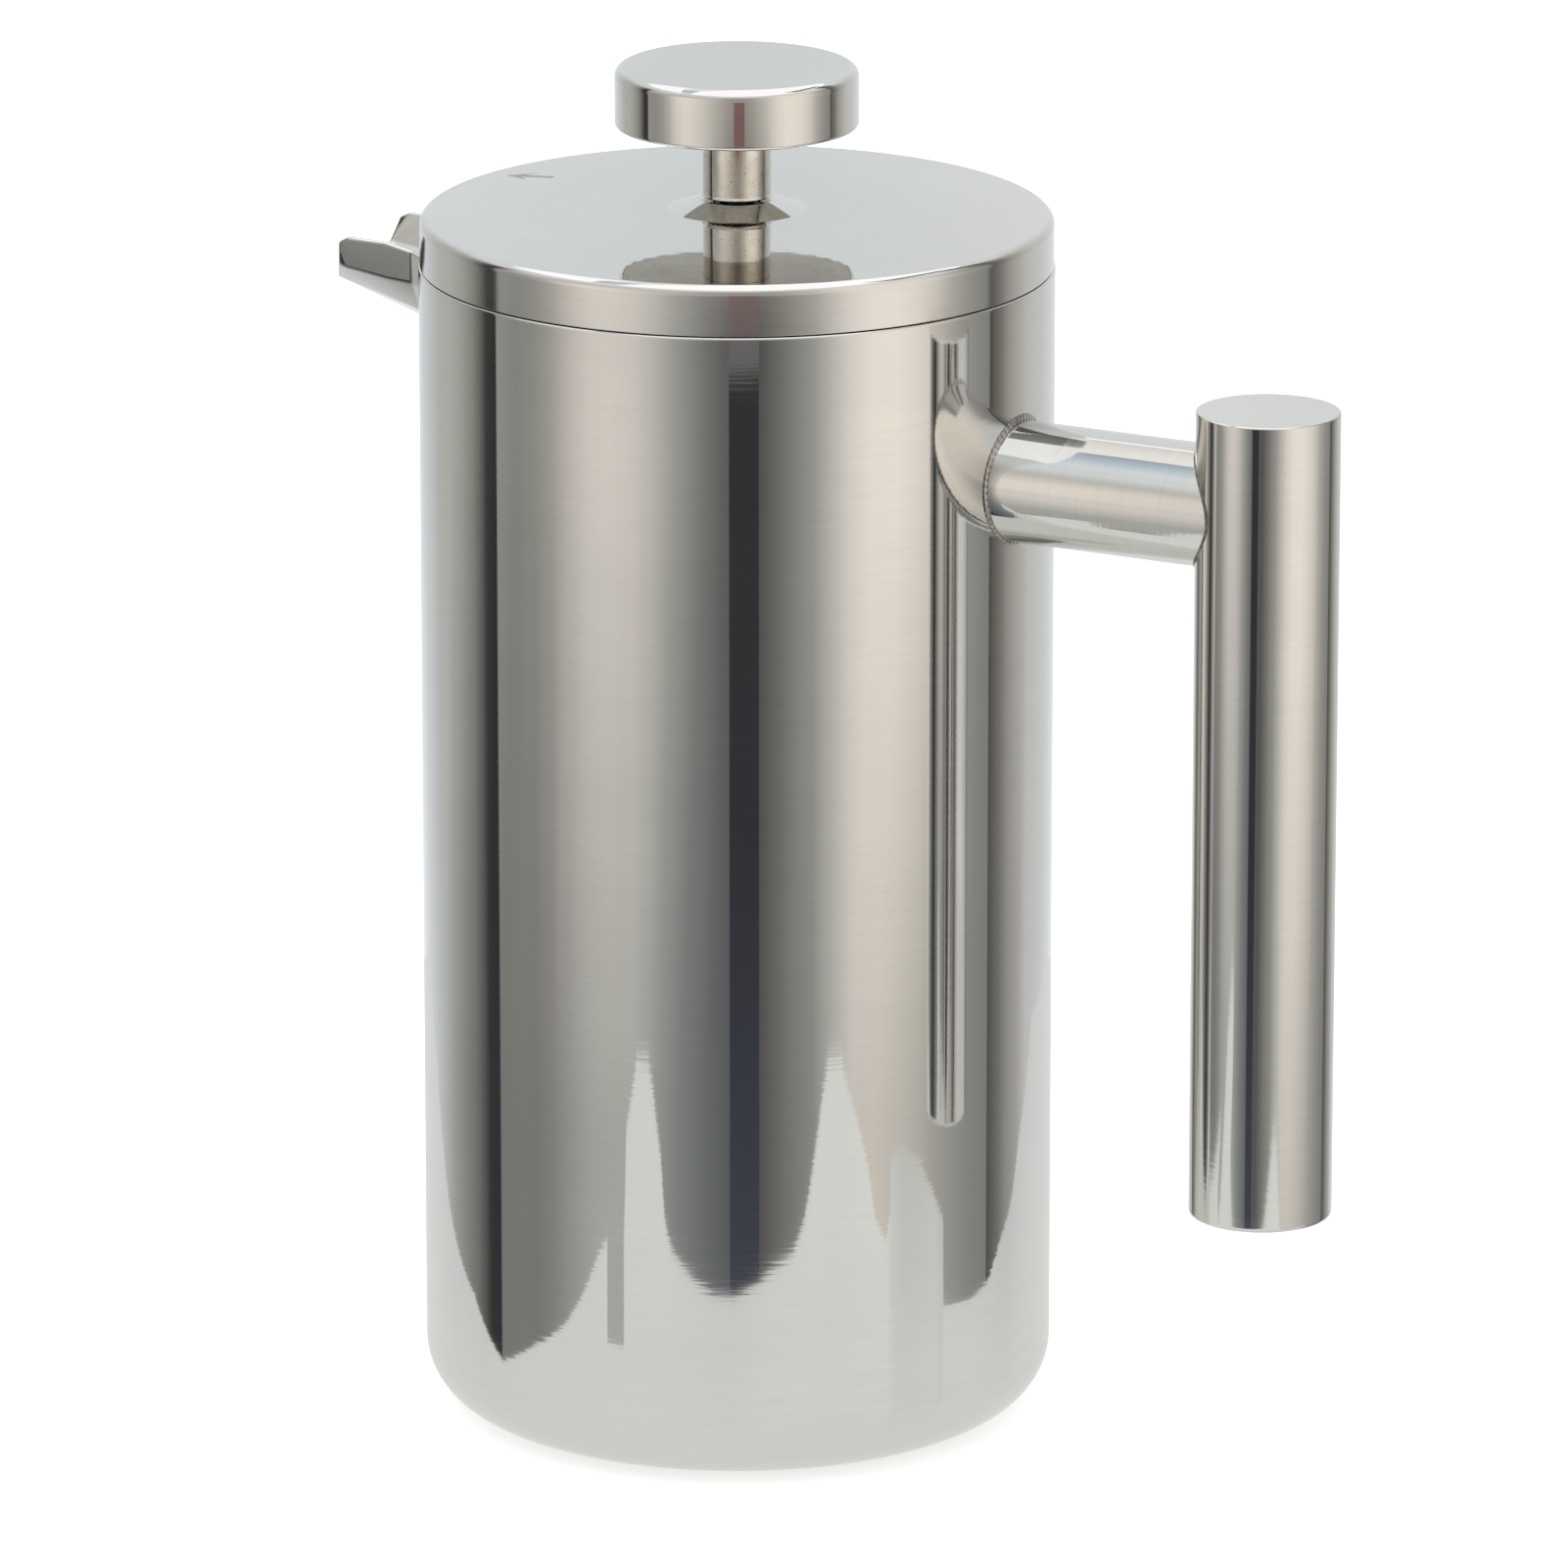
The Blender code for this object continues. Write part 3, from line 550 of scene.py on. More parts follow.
def speckled_steel(name):
    """The neck's grainier polish, with small dark pits."""
    tree = Tree(name)
    tree.brushed(0.6)
    place = tree.node("TexCoord").outputs["Object"]
    grain = tree.noise(place, 2600, detail=3.0, roughness=0.7)
    cloud = tree.noise(place, 500, detail=2.0)
    tint = tree.mix_colours(tree.span(cloud, 0, 1, 0.3, 0.7), (0.76, 0.72, 0.66), (0.82, 0.80, 0.77))
    colour = tree.mix_colours(tree.span(grain, 0, 1, 0.32, 0.40), (0.40, 0.36, 0.31), tint)
    return tree.surface(colour, tree.span(grain, 0.10, 0.05, 0.3, 0.7), tree.bump(grain, 0.000003))


def underside_shade_steel(name):
    """The knob's underside: pressed steel, painted brownish and darker as the shade under the knob."""
    tree = Tree(name)
    place = tree.node("TexCoord").outputs["Object"]
    cloud = tree.noise(place, 220, detail=4.0, roughness=0.6)
    marks = tree.noise(tree.around(0.010, 0.0005), 1.0, detail=2.0)
    # painted shade: the underside gets a darker, brownish colour than the polished steel
    colour = tree.mix_colours(tree.span(cloud, 0, 1, 0.3, 0.7), (0.44, 0.40, 0.345), (0.54, 0.505, 0.45))
    return tree.surface(colour, tree.span(marks, 0.20, 0.28, 0.3, 0.7), tree.bump(marks, 0.000004))


def satin_steel(name, tint=(0.66, 0.66, 0.65), roughness=0.30, metallic=1.0):
    """Turned or rolled steel inside the press, with plain circular machining marks.

    A metallic share below 1 makes it partly matt, so that it gathers light deep inside the pot.
    """
    tree = Tree(name, metallic)
    tree.brushed(0.5)
    marks = tree.noise(tree.around(0.014, 0.0004), 1.0, detail=3.0, roughness=0.65)
    patches = tree.noise(tree.node("TexCoord").outputs["Object"], 60, detail=3.0)
    darker = tuple(value * 0.86 for value in tint)
    colour = tree.mix_colours(tree.span(marks, 0, 1, 0.3, 0.7), darker, tint)
    rough = tree.span(patches, roughness - 0.05, roughness + 0.06, 0.3, 0.7)
    return tree.surface(colour, rough, tree.bump(marks, 0.00001))


def weld_steel(name):
    """A bead with a brown heat tint at its edges and a paler, rippled crest."""
    tree = Tree(name)
    place = tree.node("TexCoord").outputs["Object"]
    grain = tree.noise(place, 1100, detail=3.0, roughness=0.65)
    cloud = tree.noise(place, 300, detail=2.0)
    crest = tree.node("VertexColor", layer_name="crest")
    middle = tree.node("SeparateColor")
    tree.join(crest.outputs["Color"], middle.inputs[0])
    light = tree.math("MULTIPLY", middle.outputs[0], tree.span(cloud, 0.55, 1.0, 0.35, 0.62))
    brown = tree.mix_colours(tree.span(grain, 0, 1, 0.35, 0.65), (0.15, 0.125, 0.11), (0.27, 0.24, 0.215))
    colour = tree.mix_colours(light, brown, (0.78, 0.77, 0.75))
    return tree.surface(colour, tree.span(grain, 0.18, 0.08, 0.3, 0.7), tree.bump(grain, 0.00002))


def woven_wire(name):
    """Fine plain-woven wire cloth: crossed wires that pass over and under each other; the openings between
    them are painted dark as shade.
    """
    tree = Tree(name)
    place = tree.node("TexCoord").outputs["Object"]
    parts = tree.node("SeparateXYZ")
    tree.join(place, parts.inputs[0])
    pitch = 0.00042
    waves = []
    for axis in (0, 1):
        angle = tree.math("MULTIPLY", parts.outputs[axis], math.tau / pitch)
        waves.append(tree.math("SINE", angle))
    weave = tree.math("MULTIPLY", waves[0], waves[1])
    crest = tree.math("MAXIMUM", tree.math("ABSOLUTE", waves[0]), tree.math("ABSOLUTE", waves[1]))
    height = tree.math("ADD", crest, tree.math("MULTIPLY", weave, 0.35))
    # painted shade: the openings between the wires are near black, the wires pale
    colour = tree.mix_colours(tree.span(crest, 0, 1, 0.35, 0.85), (0.10, 0.10, 0.10), (0.62, 0.62, 0.61))
    return tree.surface(colour, tree.span(height, 0.55, 0.30, 0.3, 1.2), tree.bump(height, 0.00008))


def drawn_wire(name):
    """The coil spring's wire, bright with fine draw marks."""
    tree = Tree(name)
    grain = tree.noise(tree.node("TexCoord").outputs["Object"], 2500, detail=2.0)
    colour = tree.mix_colours(tree.span(grain, 0, 1, 0.35, 0.65), (0.56, 0.56, 0.55), (0.72, 0.72, 0.70))
    return tree.surface(colour, tree.span(grain, 0.20, 0.34, 0.3, 0.7))


def silicone(name):
    """The lid's ring: pale, matt and slightly translucent."""
    tree = Tree(name, metallic=0.0)
    tree.shader.inputs["Subsurface Weight"].default_value = 0.15
    tree.shader.inputs["Subsurface Scale"].default_value = 0.002
    place = tree.node("TexCoord").outputs["Object"]
    cloud = tree.noise(place, 140, detail=3.0)
    fine = tree.noise(place, 2200, detail=2.0)
    colour = tree.mix_colours(tree.span(cloud, 0, 1, 0.3, 0.7), (0.62, 0.63, 0.62), (0.72, 0.73, 0.72))
    return tree.surface(colour, tree.span(fine, 0.42, 0.58, 0.3, 0.7), tree.bump(fine, 0.00002))


def etched_steel(name):
    """The etched arrow's matt, slightly browned surface."""
    tree = Tree(name, metallic=0.6)
    fine = tree.noise(tree.node("TexCoord").outputs["Object"], 3000, detail=3.0)
    colour = tree.mix_colours(tree.span(fine, 0, 1, 0.3, 0.7), (0.34, 0.28, 0.235), (0.46, 0.40, 0.345))
    return tree.surface(colour, tree.span(fine, 0.50, 0.70, 0.3, 0.7))


# ---------------------------------------------------------------- shapes

ARC_STEP = math.radians(7.5)
GUARD = 0.00012  # rings this near a bend keep the shading of long walls straight


def filleted(corners):
    """Rounds the corners of a closed outline given as (r, z, fillet radius)."""
    points = []
    count = len(corners)
    for i, (r, z, radius) in enumerate(corners):
        here = Vector((r, z))
        if radius == 0:
            points.append((r, z))
            continue
        before = (Vector(corners[i - 1][:2]) - here).normalized()
        after = (Vector(corners[(i + 1) % count][:2]) - here).normalized()
        half = before.angle(after) / 2
        centre = here + (before + after).normalized() * (radius / math.sin(half))
        arm = here + before * (radius / math.tan(half)) - centre
        last = here + after * (radius / math.tan(half)) - centre
        side = math.copysign(1, arm.x * last.y - arm.y * last.x)
        turn = side * (math.pi - 2 * half)
        steps = max(3, round(abs(turn) / ARC_STEP))
        for k in range(steps + 1):
            a = turn * k / steps
            points.append((centre.x + arm.x * math.cos(a) - arm.y * math.sin(a),
                           centre.y + arm.x * math.sin(a) + arm.y * math.cos(a)))
    return points


def guarded(points):
    """Adds a point close to each end of every long stretch."""
    result = []
    count = len(points)
    for i, (r, z) in enumerate(points):
        result.append((r, z))
        nr, nz = points[(i + 1) % count]
        length = math.hypot(nr - r, nz - z)
        if length > 5 * GUARD and max(r, nr) > 0:
            for share in (GUARD / length, 1 - GUARD / length):
                result.append((r + (nr - r) * share, z + (nz - z) * share))
    return result


def shade(mesh, sharp=35):
    """Smooth shading but across bends of more than this many degrees."""
    mesh.shade_smooth()
    mesh.set_sharp_from_angle(angle=math.radians(sharp))


def mesh_piece(name, points, faces, sharp=35):
    mesh = bpy.data.meshes.new(name)
    mesh.from_pydata([tuple(p) for p in points], [], faces)
    shade(mesh, sharp)
    thing = bpy.data.objects.new(name, mesh)
    bpy.context.collection.objects.link(thing)
    return thing


def turned(name, corners, flats=ROUND, at=(0, 0, 0)):
    """Spins a closed outline of (r, z, fillet radius) round Z; points with r = 0 become one point."""
    outline = guarded(filleted(corners))
    points, rings = [], []
    for r, z in outline:
        if r == 0:
            rings.append([len(points)] * flats)
            points.append((0, 0, z))
            continue
        rings.append(list(range(len(points), len(points) + flats)))
        for i in range(flats):
            a = math.tau * i / flats
            points.append((r * math.cos(a), r * math.sin(a), z))
    faces = []
    for k, ring in enumerate(rings):
        following = rings[(k + 1) % len(rings)]
        if ring[0] == ring[1] and following[0] == following[1]:
            continue
        for i in range(flats):
            j = (i + 1) % flats
            face = (ring[i], ring[j], following[j], following[i])
            faces.append(tuple(dict.fromkeys(face)))
    thing = mesh_piece(name, points, faces)
    thing.location = at
    return outward(thing)


def tube_faces(steps, sides):
    """The faces of a tube bent into a closed ring, with this many points round each of its steps."""
    faces = []
    for i in range(steps):
        j = (i + 1) % steps
        for k in range(sides):
            m = (k + 1) % sides
            faces.append((i * sides + k, j * sides + k, j * sides + m, i * sides + m))
    return faces


def outward(thing):
    """Turns all faces outwards."""
    shape = bmesh.new()
    shape.from_mesh(thing.data)
    bmesh.ops.recalc_face_normals(shape, faces=shape.faces)
    shape.to_mesh(thing.data)
    shape.free()
    return thing


def fit(thing, body, nodes, material):
    """Puts a piece on its body, in place of its CAD nodes if it has any."""
    thing.data.materials.clear()
    thing.data.materials.append(material)
    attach(thing, body)
    if nodes:
        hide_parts(*nodes)


def keep(node, material):
    """A CAD node whose shape is right gets its finished material."""
    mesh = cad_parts[node].data
    mesh.materials.clear()
    mesh.materials.append(material)


def cylinder_cutter(name, radius, bottom, top, at=(0, 0), flats=ROUND):
    corners = [(0, bottom, 0), (radius, bottom, 0), (radius, top, 0), (0, top, 0)]
    return turned(name, corners, flats, (*at, 0))


def block_cutter(name, centre, size):
    shape = bmesh.new()
    bmesh.ops.create_cube(shape, size=1, matrix=Matrix.Translation(centre) @ Matrix.Diagonal((*size, 1)))
    block = bpy.data.meshes.new(name)
    shape.to_mesh(block)
    shape.free()
    cutter = bpy.data.objects.new(name, block)
    bpy.context.collection.objects.link(cutter)
    return cutter


def cut(thing, cutter):
    """Applies a piece's modifiers and a cut by another piece, which is then removed."""
    boolean = thing.modifiers.new("cut", "BOOLEAN")
    boolean.operation = "DIFFERENCE"
    boolean.object = cutter
    boolean.solver = "EXACT"
    bpy.context.view_layer.update()
    graph = bpy.context.evaluated_depsgraph_get()
    made = bpy.data.meshes.new_from_object(thing.evaluated_get(graph))
    thing.modifiers.clear()
    thing.data = made
    shade(made)
    bpy.data.objects.remove(cutter, do_unlink=True)


# ---------------------------------------------------------------- pot

# Half of the spout's section at its root, from the rim down to the keel, as (y, z).
NOTCH_HALF = ((0.0132, 0.1838), (0.0118, 0.1786), (0.0076, 0.1729), (0.0, 0.1692))


def notch_cutter(name, offset, start, end):
    """A block from X start to X end with the spout's root section, made wider by the offset."""
    above = POT_TOP + 0.010
    half = [(y + offset, z) for y, z in NOTCH_HALF[:-1]]
    half[2] = (half[2][0], half[2][1] - offset)
    left = [(half[0][0], above)] + half + [(0.0, NOTCH_HALF[-1][1] - offset)]
    section = left + [(-y, z) for y, z in reversed(left[:-1])]
    count = len(section)
    points = [(start, y, z) for y, z in section] + [(end, y, z) for y, z in section]
    faces = [tuple(range(count)), tuple(range(2 * count - 1, count - 1, -1))]
    faces += [(i, i + count, (i + 1) % count + count, (i + 1) % count) for i in range(count)]
    return outward(mesh_piece(name, points, faces))


def make_outer_shell(material):
    """The drawn wall, open at the top and notched behind the spout, with a hole for the base plate."""
    foot = bottom_of("outer_shell")
    lip = radius_of("base_plate") + GAP
    corners = [
        (POT_RADIUS, POT_TOP, 0.00035), (POT_RADIUS, foot, POT_CORNER), (lip, foot, 0.0002),
        (lip, foot + WALL, 0), (POT_RADIUS - WALL, foot + WALL, POT_CORNER - WALL),
        (POT_RADIUS - WALL, POT_TOP, 0.0002),
    ]
    shell = turned("pot_outer_wall", corners, ROUND_LARGE)
    cut(shell, notch_cutter("notch", GAP, start=-0.0560, end=-0.0400))
    fit(shell, "pot", ["outer_shell"], material)


def make_inner_liner(material):
    """A cup with a flat rim that reaches the outer wall."""
    liner_radius, corner = 0.0460, 0.0080
    inner = liner_radius - WALL
    bottom = bottom_of("inner_liner")
    rim_top = top_of("inner_liner")
    rim = POT_RADIUS - WALL - GAP
    corners = [
        (0, bottom, 0), (liner_radius, bottom, corner), (liner_radius, rim_top - WALL, 0),
        (rim, rim_top - WALL, 0), (rim, rim_top, 0), (inner, rim_top, 0.0006),
        (inner, bottom + WALL, corner - WALL), (0, bottom + WALL, 0),
    ]
    liner = turned("pot_inner_wall", corners)
    cut(liner, notch_cutter("notch", -0.0010, start=-0.0521, end=-0.0401))
    fit(liner, "pot", ["inner_liner"], material)


def make_base_plate(material):
    radius = radius_of("base_plate")
    corners = [(0, 0, 0), (radius, 0, 0.0003), (radius, WALL, 0), (0, WALL, 0)]
    fit(turned("pot_base", corners), "pot", ["base_plate"], material)


# Half sections of the spout in mm, each from its rim down to its keel, in order from its neck to its mouth.
SPOUT_SECTIONS = (
    ((-52.9, 10.8, 184.3), (-53.3, 9.6, 178.9), (-53.6, 6.0, 173.5), (-53.7, 0.0, 170.2)),
    ((-57.9, 10.45, 185.15), (-58.4, 9.0, 179.1), (-58.7, 5.7, 174.8), (-58.7, 0.0, 171.7)),
    ((-64.7, 10.35, 185.15), (-65.9, 8.65, 179.9), (-67.5, 5.3, 176.9), (-68.6, 0.0, 174.8)),
    ((-66.5, 10.30, 184.2), (-67.6, 8.5, 180.2), (-69.6, 5.2, 177.4), (-71.1, 0.0, 175.7)),
)


def make_spout(material):
    """A folded sheet with small bend radii, open at the top."""
    inside, trim_radius = 0.0430, 0.0463
    halves = []
    for reach in (inside, POT_RADIUS + 0.0006):
        halves.append([(-math.sqrt(reach * reach - y * y), y, z) for y, z in NOTCH_HALF])
    halves += [[(x * MM, y * MM, z * MM) for x, y, z in section] for section in SPOUT_SECTIONS]
    points = []
    for half in halves:
        points += half + [(x, -y, z) for x, y, z in reversed(half[:-1])]
    width = len(points) // len(halves)
    faces = []
    for row in range(len(halves) - 1):
        for i in range(width - 1):
            a = row * width + i
            faces.append((a, a + 1, a + width + 1, a + width))
    spout = outward(mesh_piece("pouring_spout", points, faces))
    sheet = spout.modifiers.new("sheet", "SOLIDIFY")
    sheet.thickness = 0.0010
    sheet.offset = 1
    sheet.use_even_offset = True
    bends = spout.modifiers.new("bends", "BEVEL")
    bends.width = 0.00045
    bends.segments = 4
    bends.limit_method = "ANGLE"
    bends.angle_limit = math.radians(12)
    cut(spout, cylinder_cutter("trim", trim_radius, bottom=0.15, top=0.20))
    shade(spout.data, sharp=60)
    fit(spout, "pot", ["spout"], material)


CAP_THICKNESS = 0.0015


def make_grip(material):
    """A tube closed by two flush welded discs; their joints are ground away."""
    bore = GRIP_RADIUS - TUBE_WALL
    low, high = GRIP_BOTTOM + CAP_THICKNESS, GRIP_TOP - CAP_THICKNESS
    corners = [(bore, low, 0), (GRIP_RADIUS, low, 0), (GRIP_RADIUS, high, 0), (bore, high, 0)]
    grip = turned("grip_tube", corners, ROUND, (GRIP_REACH, 0, 0))
    fit(grip, "pot", ["handle_grip"], material)
    caps = (("grip_top_cap", high, GRIP_TOP, 0.0003), ("grip_bottom_cap", low, GRIP_BOTTOM, 0.0008))
    for node, inner, outer, edge in caps:
        corners = [(0, inner, 0), (GRIP_RADIUS, inner, 0), (GRIP_RADIUS, outer, edge), (0, outer, 0)]
        cap = turned(node + "_disc", corners, ROUND, (GRIP_REACH, 0, 0))
        fit(cap, "pot", [node], material)


def make_arm(material):
    """A tube along X, coped to the pot and to the grip."""
    spare, play = 0.005, 0.0001
    length = GRIP_REACH - POT_RADIUS + 2 * spare
    inner = ARM_RADIUS - TUBE_WALL
    corners = [(inner, 0, 0), (ARM_RADIUS, 0, 0), (ARM_RADIUS, length, 0), (inner, length, 0)]
    arm = turned("handle_arm_tube", corners)
    start = Matrix.Translation((POT_RADIUS - spare, 0, ARM_HEIGHT))
    arm.matrix_world = start @ Matrix.Rotation(math.pi / 2, 4, "Y")
    low, high = ARM_HEIGHT - 0.015, ARM_HEIGHT + 0.015
    cut(arm, cylinder_cutter("pot_cope", POT_RADIUS + play, low, high, flats=ROUND_LARGE))
    cut(arm, cylinder_cutter("grip_cope", GRIP_RADIUS + play, low, high, (GRIP_REACH, 0)))
    fit(arm, "pot", ["handle_arm"], material)


def make_weld(name, node, post_x, post_radius, side, leg, rise, ripples, draw, material):
    """A low rippled bead along the line where the arm meets an upright tube.

    It covers a leg of the upright's wall beside the arm, a little more of it on top than below.
    """
    steps, sides = 8 * ripples, 14
    lumps = [draw.uniform(0.80, 1.20) for _ in range(ripples)]
    points, crests = [], []
    for i in range(steps):
        angle = math.tau * i / steps
        share = i / steps * ripples
        lump = lumps[int(share) % ripples]
        ripple = abs(math.sin(math.pi * share)) ** 0.6
        half = leg * (1 + 0.30 * math.sin(angle)) * (0.94 + 0.06 * lump * ripple) / 2
        height = rise * (0.72 + 0.28 * ripple * lump)
        for k in range(sides):
            a = math.tau * k / sides
            reach = ARM_RADIUS - 0.00015 + half * (1 + math.cos(a))
            y, z = reach * math.cos(angle), reach * math.sin(angle)
            wall = math.sqrt(post_radius * post_radius - y * y)
            points.append(Vector((post_x + side * (wall + height * math.sin(a)), y, z)))
            crests.append(max(0.0, math.sin(a)) ** 2 * (0.4 + 0.6 * ripple))
    bead = outward(mesh_piece(name, points, tube_faces(steps, sides), sharp=80))
    layer = bead.data.color_attributes.new("crest", "FLOAT_COLOR", "POINT")
    for i, crest in enumerate(crests):
        layer.data[i].color = (crest, crest, crest, 1)
    bead.location.z = ARM_HEIGHT
    fit(bead, "pot", [node], material)


# ---------------------------------------------------------------- lid


def crown(radius):
    """How far the lid's top stands above its edge."""
    edge = LID_RADIUS - LID_EDGE
    return CROWN_HEIGHT * (1 - (radius / edge) ** 3)


# The raised boss in the lid's middle: its radius at the foot and at the top, its hole and its height.
BOSS_BASE = 0.0109
BOSS_NOSE = 0.0060
BOSS_HOLE = 0.0037
BOSS_TOP = 0.1968


def make_lid_shell(material):
    """A crowned cover with the boss in its middle and a short side wall."""
    rings = [0.0130 + 0.0025 * i for i in range(13)]
    inner = LID_RADIUS - WALL
    lip = LID_BOTTOM - 0.00014
    corners = [(BOSS_HOLE, BOSS_TOP, 0.0001), (BOSS_HOLE, BOSS_TOP - WALL, 0)]
    corners += [(BOSS_NOSE, BOSS_TOP - WALL, 0), (BOSS_BASE, LID_TOP - WALL + crown(BOSS_BASE), 0)]
    corners += [(r, LID_TOP - WALL + crown(r), 0) for r in rings[::3]]
    corners += [(inner, LID_TOP - WALL, LID_EDGE - WALL), (inner, lip, 0.0001)]
    corners += [(LID_RADIUS, lip, 0.00015), (LID_RADIUS, LID_TOP, LID_EDGE)]
    corners += [(r, LID_TOP + crown(r), 0) for r in reversed(rings)]
    corners += [(BOSS_BASE, LID_TOP + crown(BOSS_BASE), 0.0001), (BOSS_NOSE, BOSS_TOP, 0.0003)]
    shell = turned("lid_top_shell", corners, ROUND_LARGE)
    fit(shell, "lid", ["lid_shell"], material)


def make_lid_skirt(material):
    """A flanged collar with a window towards the spout."""
    wall = 0.0007
    inner = SKIRT_RADIUS - wall
    bottom = bottom_of("lid_skirt")
    flange = LID_BOTTOM + 0.0001
    rim = LID_RADIUS - WALL - GAP
    corners = [
        (inner, bottom, 0.0002), (SKIRT_RADIUS, bottom, 0.0002), (SKIRT_RADIUS, flange, 0.0008),
        (rim, flange, 0), (rim, flange + wall, 0), (inner, flange + wall, 0.0010),
    ]
    skirt = turned("lid_collar", corners)
    window = block_cutter("window", centre=(-0.0429, 0, 0.1775), size=(0.0152, 0.0280, 0.0120))
    cut(skirt, window)
    fit(skirt, "lid", ["lid_skirt"], material)


def make_seal(material):
    low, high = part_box("lid_seal")
    inner = SKIRT_RADIUS + GAP
    radius = radius_of("lid_seal")
    shoulder = radius - 0.0004
    corners = [
        (inner, low.z, 0), (shoulder, low.z, 0.0002), (radius, (low.z + high.z) / 2, 0.0003),
        (shoulder, high.z, 0.0002), (inner, high.z, 0),
    ]
    fit(turned("lid_gasket", corners), "seal", ["lid_seal"], material)


def make_bush(material):
    """A sleeve for the rod with a flange under the lid."""
    low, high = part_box("rod_bush")
    bore, sleeve, flange = 0.0028, 0.0034, 0.0075
    over = LID_TOP - WALL
    under = over - 0.0012
    corners = [
        (bore, low.z, 0), (sleeve, low.z, 0.0001), (sleeve, under, 0), (flange, under, 0.0002),
        (flange, over, 0.0002), (sleeve, over, 0), (sleeve, high.z, 0.0001), (bore, high.z, 0.0001),
    ]
    fit(turned("rod_bushing", corners, ROUND_SMALL), "bush", ["rod_bush"], material)


def make_arrow(material):
    """A small generic arrow etched into the lid, pointing to the spout."""
    middle = Vector((-0.0406, 0.0059))
    ahead = Vector((-0.0076, -0.00107)).normalized()
    aside = Vector((-ahead.y, ahead.x))
    length, head, half_head, half_shaft = 0.0080, 0.0044, 0.0025, 0.0006
    tip = length / 2
    outline = [
        (tip, 0.0), (tip - head, half_head), (tip - 0.6 * head, half_shaft), (-tip, half_shaft),
        (-tip, -half_shaft), (tip - 0.6 * head, -half_shaft), (tip - head, -half_head),
    ]
    flat = [middle + ahead * u + aside * v for u, v in outline]
    points = []
    for lift in (0.000015, -0.00010):
        for p in flat:
            points.append((p.x, p.y, LID_TOP + crown(p.length) + lift))
    count = len(flat)
    faces = [(0, 1, 2), (0, 2, 5), (0, 5, 6), (2, 3, 4, 5)]
    faces += [tuple(i + count for i in reversed(face)) for face in faces]
    faces += [(i, i + count, (i + 1) % count + count, (i + 1) % count) for i in range(count)]
    arrow = outward(mesh_piece("lid_arrow", points, faces, sharp=20))
    fit(arrow, "lid", [], material)


# ---------------------------------------------------------------- plunger


def make_knob(material, under):
    """A hollow disc with rounded edges, closed from below by a plate."""
    edge_top, edge_bottom = 0.0017, 0.0007
    opening = KNOB_RADIUS - edge_bottom
    inner = KNOB_RADIUS - WALL
    corners = [
        (0, KNOB_TOP - WALL, 0), (inner, KNOB_TOP - WALL, edge_top - WALL),
        (inner, KNOB_BOTTOM + WALL, 0), (opening, KNOB_BOTTOM + WALL, 0),
        (opening, KNOB_BOTTOM, 0), (KNOB_RADIUS, KNOB_BOTTOM, edge_bottom - 0.00002),
        (KNOB_RADIUS, KNOB_TOP, edge_top), (0, KNOB_TOP, 0),
    ]
    fit(turned("knob_cap", corners), "plunger", ["knob_shell"], material)
    rim = opening - 0.0001
    corners = [
        (ROD_BORE, KNOB_BOTTOM, 0), (rim, KNOB_BOTTOM, 0.00005),
        (rim, KNOB_BOTTOM + WALL, 0), (ROD_BORE, KNOB_BOTTOM + WALL, 0),
    ]
    fit(turned("knob_base", corners), "plunger", ["knob_underplate"], under)


def make_neck(material):
    """A straight tube with a small lip at its foot."""
    bottom, top = bottom_of("knob_neck") - 0.0001, KNOB_BOTTOM - 0.00005
    corners = [
        (ROD_BORE, bottom, 0), (NECK_RADIUS - NECK_LIP, bottom, 0.00015),
        (NECK_RADIUS + NECK_LIP, bottom + 0.0003, 0.0001), (NECK_RADIUS, bottom + 0.0007, 0.0001),
        (NECK_RADIUS, top, 0), (ROD_BORE, top, 0),
    ]
    fit(turned("knob_stem", corners), "plunger", ["knob_neck"], material)


def make_rod(material):
    low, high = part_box("plunger_rod")
    corners = [(0, low.z, 0), (ROD_RADIUS, low.z, 0.0005), (ROD_RADIUS, high.z, 0.0005), (0, high.z, 0)]
    shaft = turned("plunger_shaft", corners, ROUND_SMALL)
    fit(shaft, "plunger", ["plunger_rod"], material)


def make_collar(material):
    """The stop on the rod: a flange, a cone and a sleeve."""
    bottom = bottom_of("rod_collar")
    flange, sleeve = 0.0070, 0.0042
    top = bottom + 0.0058
    corners = [
        (ROD_BORE, bottom, 0), (flange, bottom, 0.0002), (flange, bottom + 0.0012, 0.0003),
        (sleeve, bottom + 0.0025, 0.0006), (sleeve, top, 0.0003), (ROD_BORE, top, 0),
    ]
    fit(turned("filter_collar", corners, ROUND_SMALL), "plunger", ["rod_collar"], material)


def make_spring(material):
    """A long coil spring bent into a ring round the filter."""
    low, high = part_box("edge_spring")
    outer = radius_of("edge_spring")
    coil = (high.z - low.z) / 2
    wire = 0.00022
    ring = outer - coil
    height = (high.z + low.z) / 2
    turns, per_turn, sides = 300, 10, 5
    steps = turns * per_turn
    middle = coil - wire
    centres = []
    for i in range(steps):
        a, b = math.tau * i / steps, math.tau * i / per_turn
        reach = ring + middle * math.cos(b)
        centres.append(Vector((reach * math.cos(a), reach * math.sin(a), height + middle * math.sin(b))))
    points = []
    for i, centre in enumerate(centres):
        ahead = (centres[(i + 1) % steps] - centres[i - 1]).normalized()
        a = math.tau * i / steps
        core = Vector((ring * math.cos(a), ring * math.sin(a), height))
        out = (centre - core).normalized()
        side = ahead.cross(out).normalized()
        for k in range(sides):
            c = math.tau * k / sides
            points.append(centre + out * (wire * math.cos(c)) + side * (wire * math.sin(c)))
    spring = outward(mesh_piece("filter_spring", points, tube_faces(steps, sides), sharp=180))
    fit(spring, "plunger", ["edge_spring"], material)


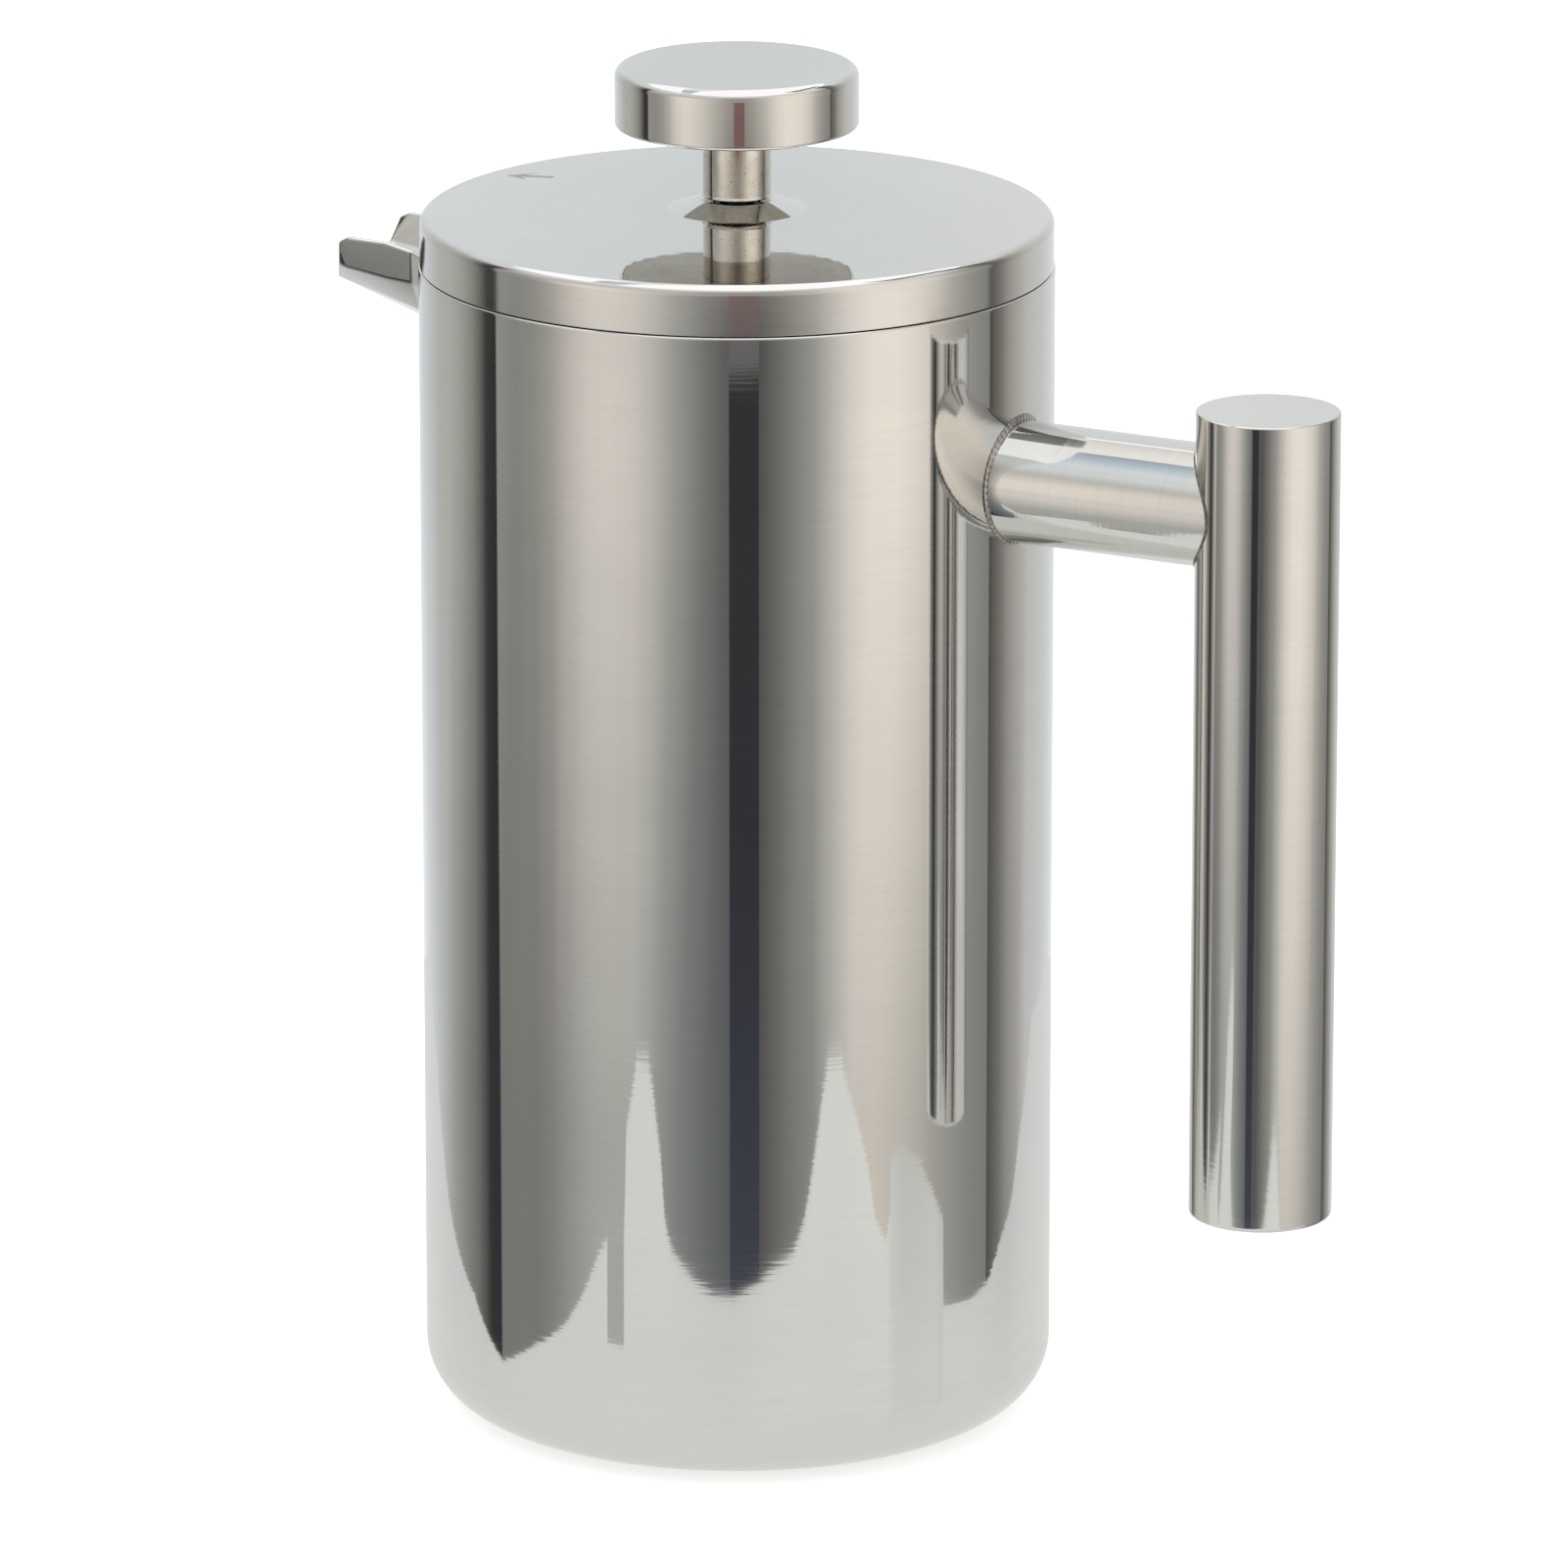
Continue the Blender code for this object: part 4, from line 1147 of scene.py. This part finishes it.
def make_screen(material):
    """A flat wire disc with an upturned edge."""
    low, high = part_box("mesh_screen")
    radius = radius_of("mesh_screen")
    sheet, corner = 0.0004, 0.0012
    inner, floor = radius - sheet, low.z + sheet
    corners = [
        (ROD_BORE, low.z, 0), (radius, low.z, corner), (radius, high.z, 0.0001),
        (inner, high.z, 0.0001), (inner, floor, corner - sheet), (ROD_BORE, floor, 0),
    ]
    fit(turned("filter_mesh", corners), "plunger", ["mesh_screen"], material)


# ---------------------------------------------------------------- build


def build_studio():
    make_camera()
    make_world()
    light = emission_material("card_light")
    make_tent(light)
    make_ceiling(light)
    make_backdrop(light)
    make_slit(light)
    make_sheet(light)
    make_floor()


def build_pot(steel):
    make_outer_shell(steel)
    make_inner_liner(satin_steel("lining_steel", tint=(0.80, 0.80, 0.79), roughness=0.38, metallic=0.5))
    make_base_plate(steel)
    make_spout(steel)
    make_grip(polished_steel("polished_grip_steel", roughness=0.075))
    make_arm(steel)
    bead = weld_steel("weld_steel")
    draw = random.Random(7)
    make_weld("pot_weld_bead", "arm_pot_weld", 0, POT_RADIUS, side=1, leg=0.0009, rise=0.00040,
              ripples=58, draw=draw, material=bead)
    make_weld("grip_weld_bead", "arm_grip_weld", GRIP_REACH, GRIP_RADIUS, side=-1, leg=0.0005, rise=0.00028,
              ripples=44, draw=draw, material=bead)


def build_lid(satin):
    make_lid_shell(polished_steel("polished_lid_steel", roughness=0.03, side=0.13, lines=0.08))
    make_lid_skirt(satin)
    make_seal(silicone("silicone"))
    make_bush(satin)
    make_arrow(etched_steel("etched_steel"))
    for node in ("lid_strainer", "bush_nut"):
        keep(node, satin)


def build_plunger(steel, satin):
    knob_steel = polished_steel("polished_knob_steel", roughness=0.03, side=0.06, lines=0.08)
    # the knob's underside carries painted shade
    make_knob(knob_steel, underside_shade_steel("underside_shade_steel"))
    make_neck(speckled_steel("speckled_steel"))
    make_rod(steel)
    make_collar(satin)
    make_spring(drawn_wire("drawn_wire"))
    make_screen(woven_wire("woven_wire"))
    for node in ("knob_hub", "spreader_plate", "cross_plate", "hub_nut"):
        keep(node, satin)


polished = polished_steel("polished_steel")
turned_steel = satin_steel("satin_steel")
build_studio()
build_pot(polished)
build_lid(turned_steel)
build_plunger(polished, turned_steel)
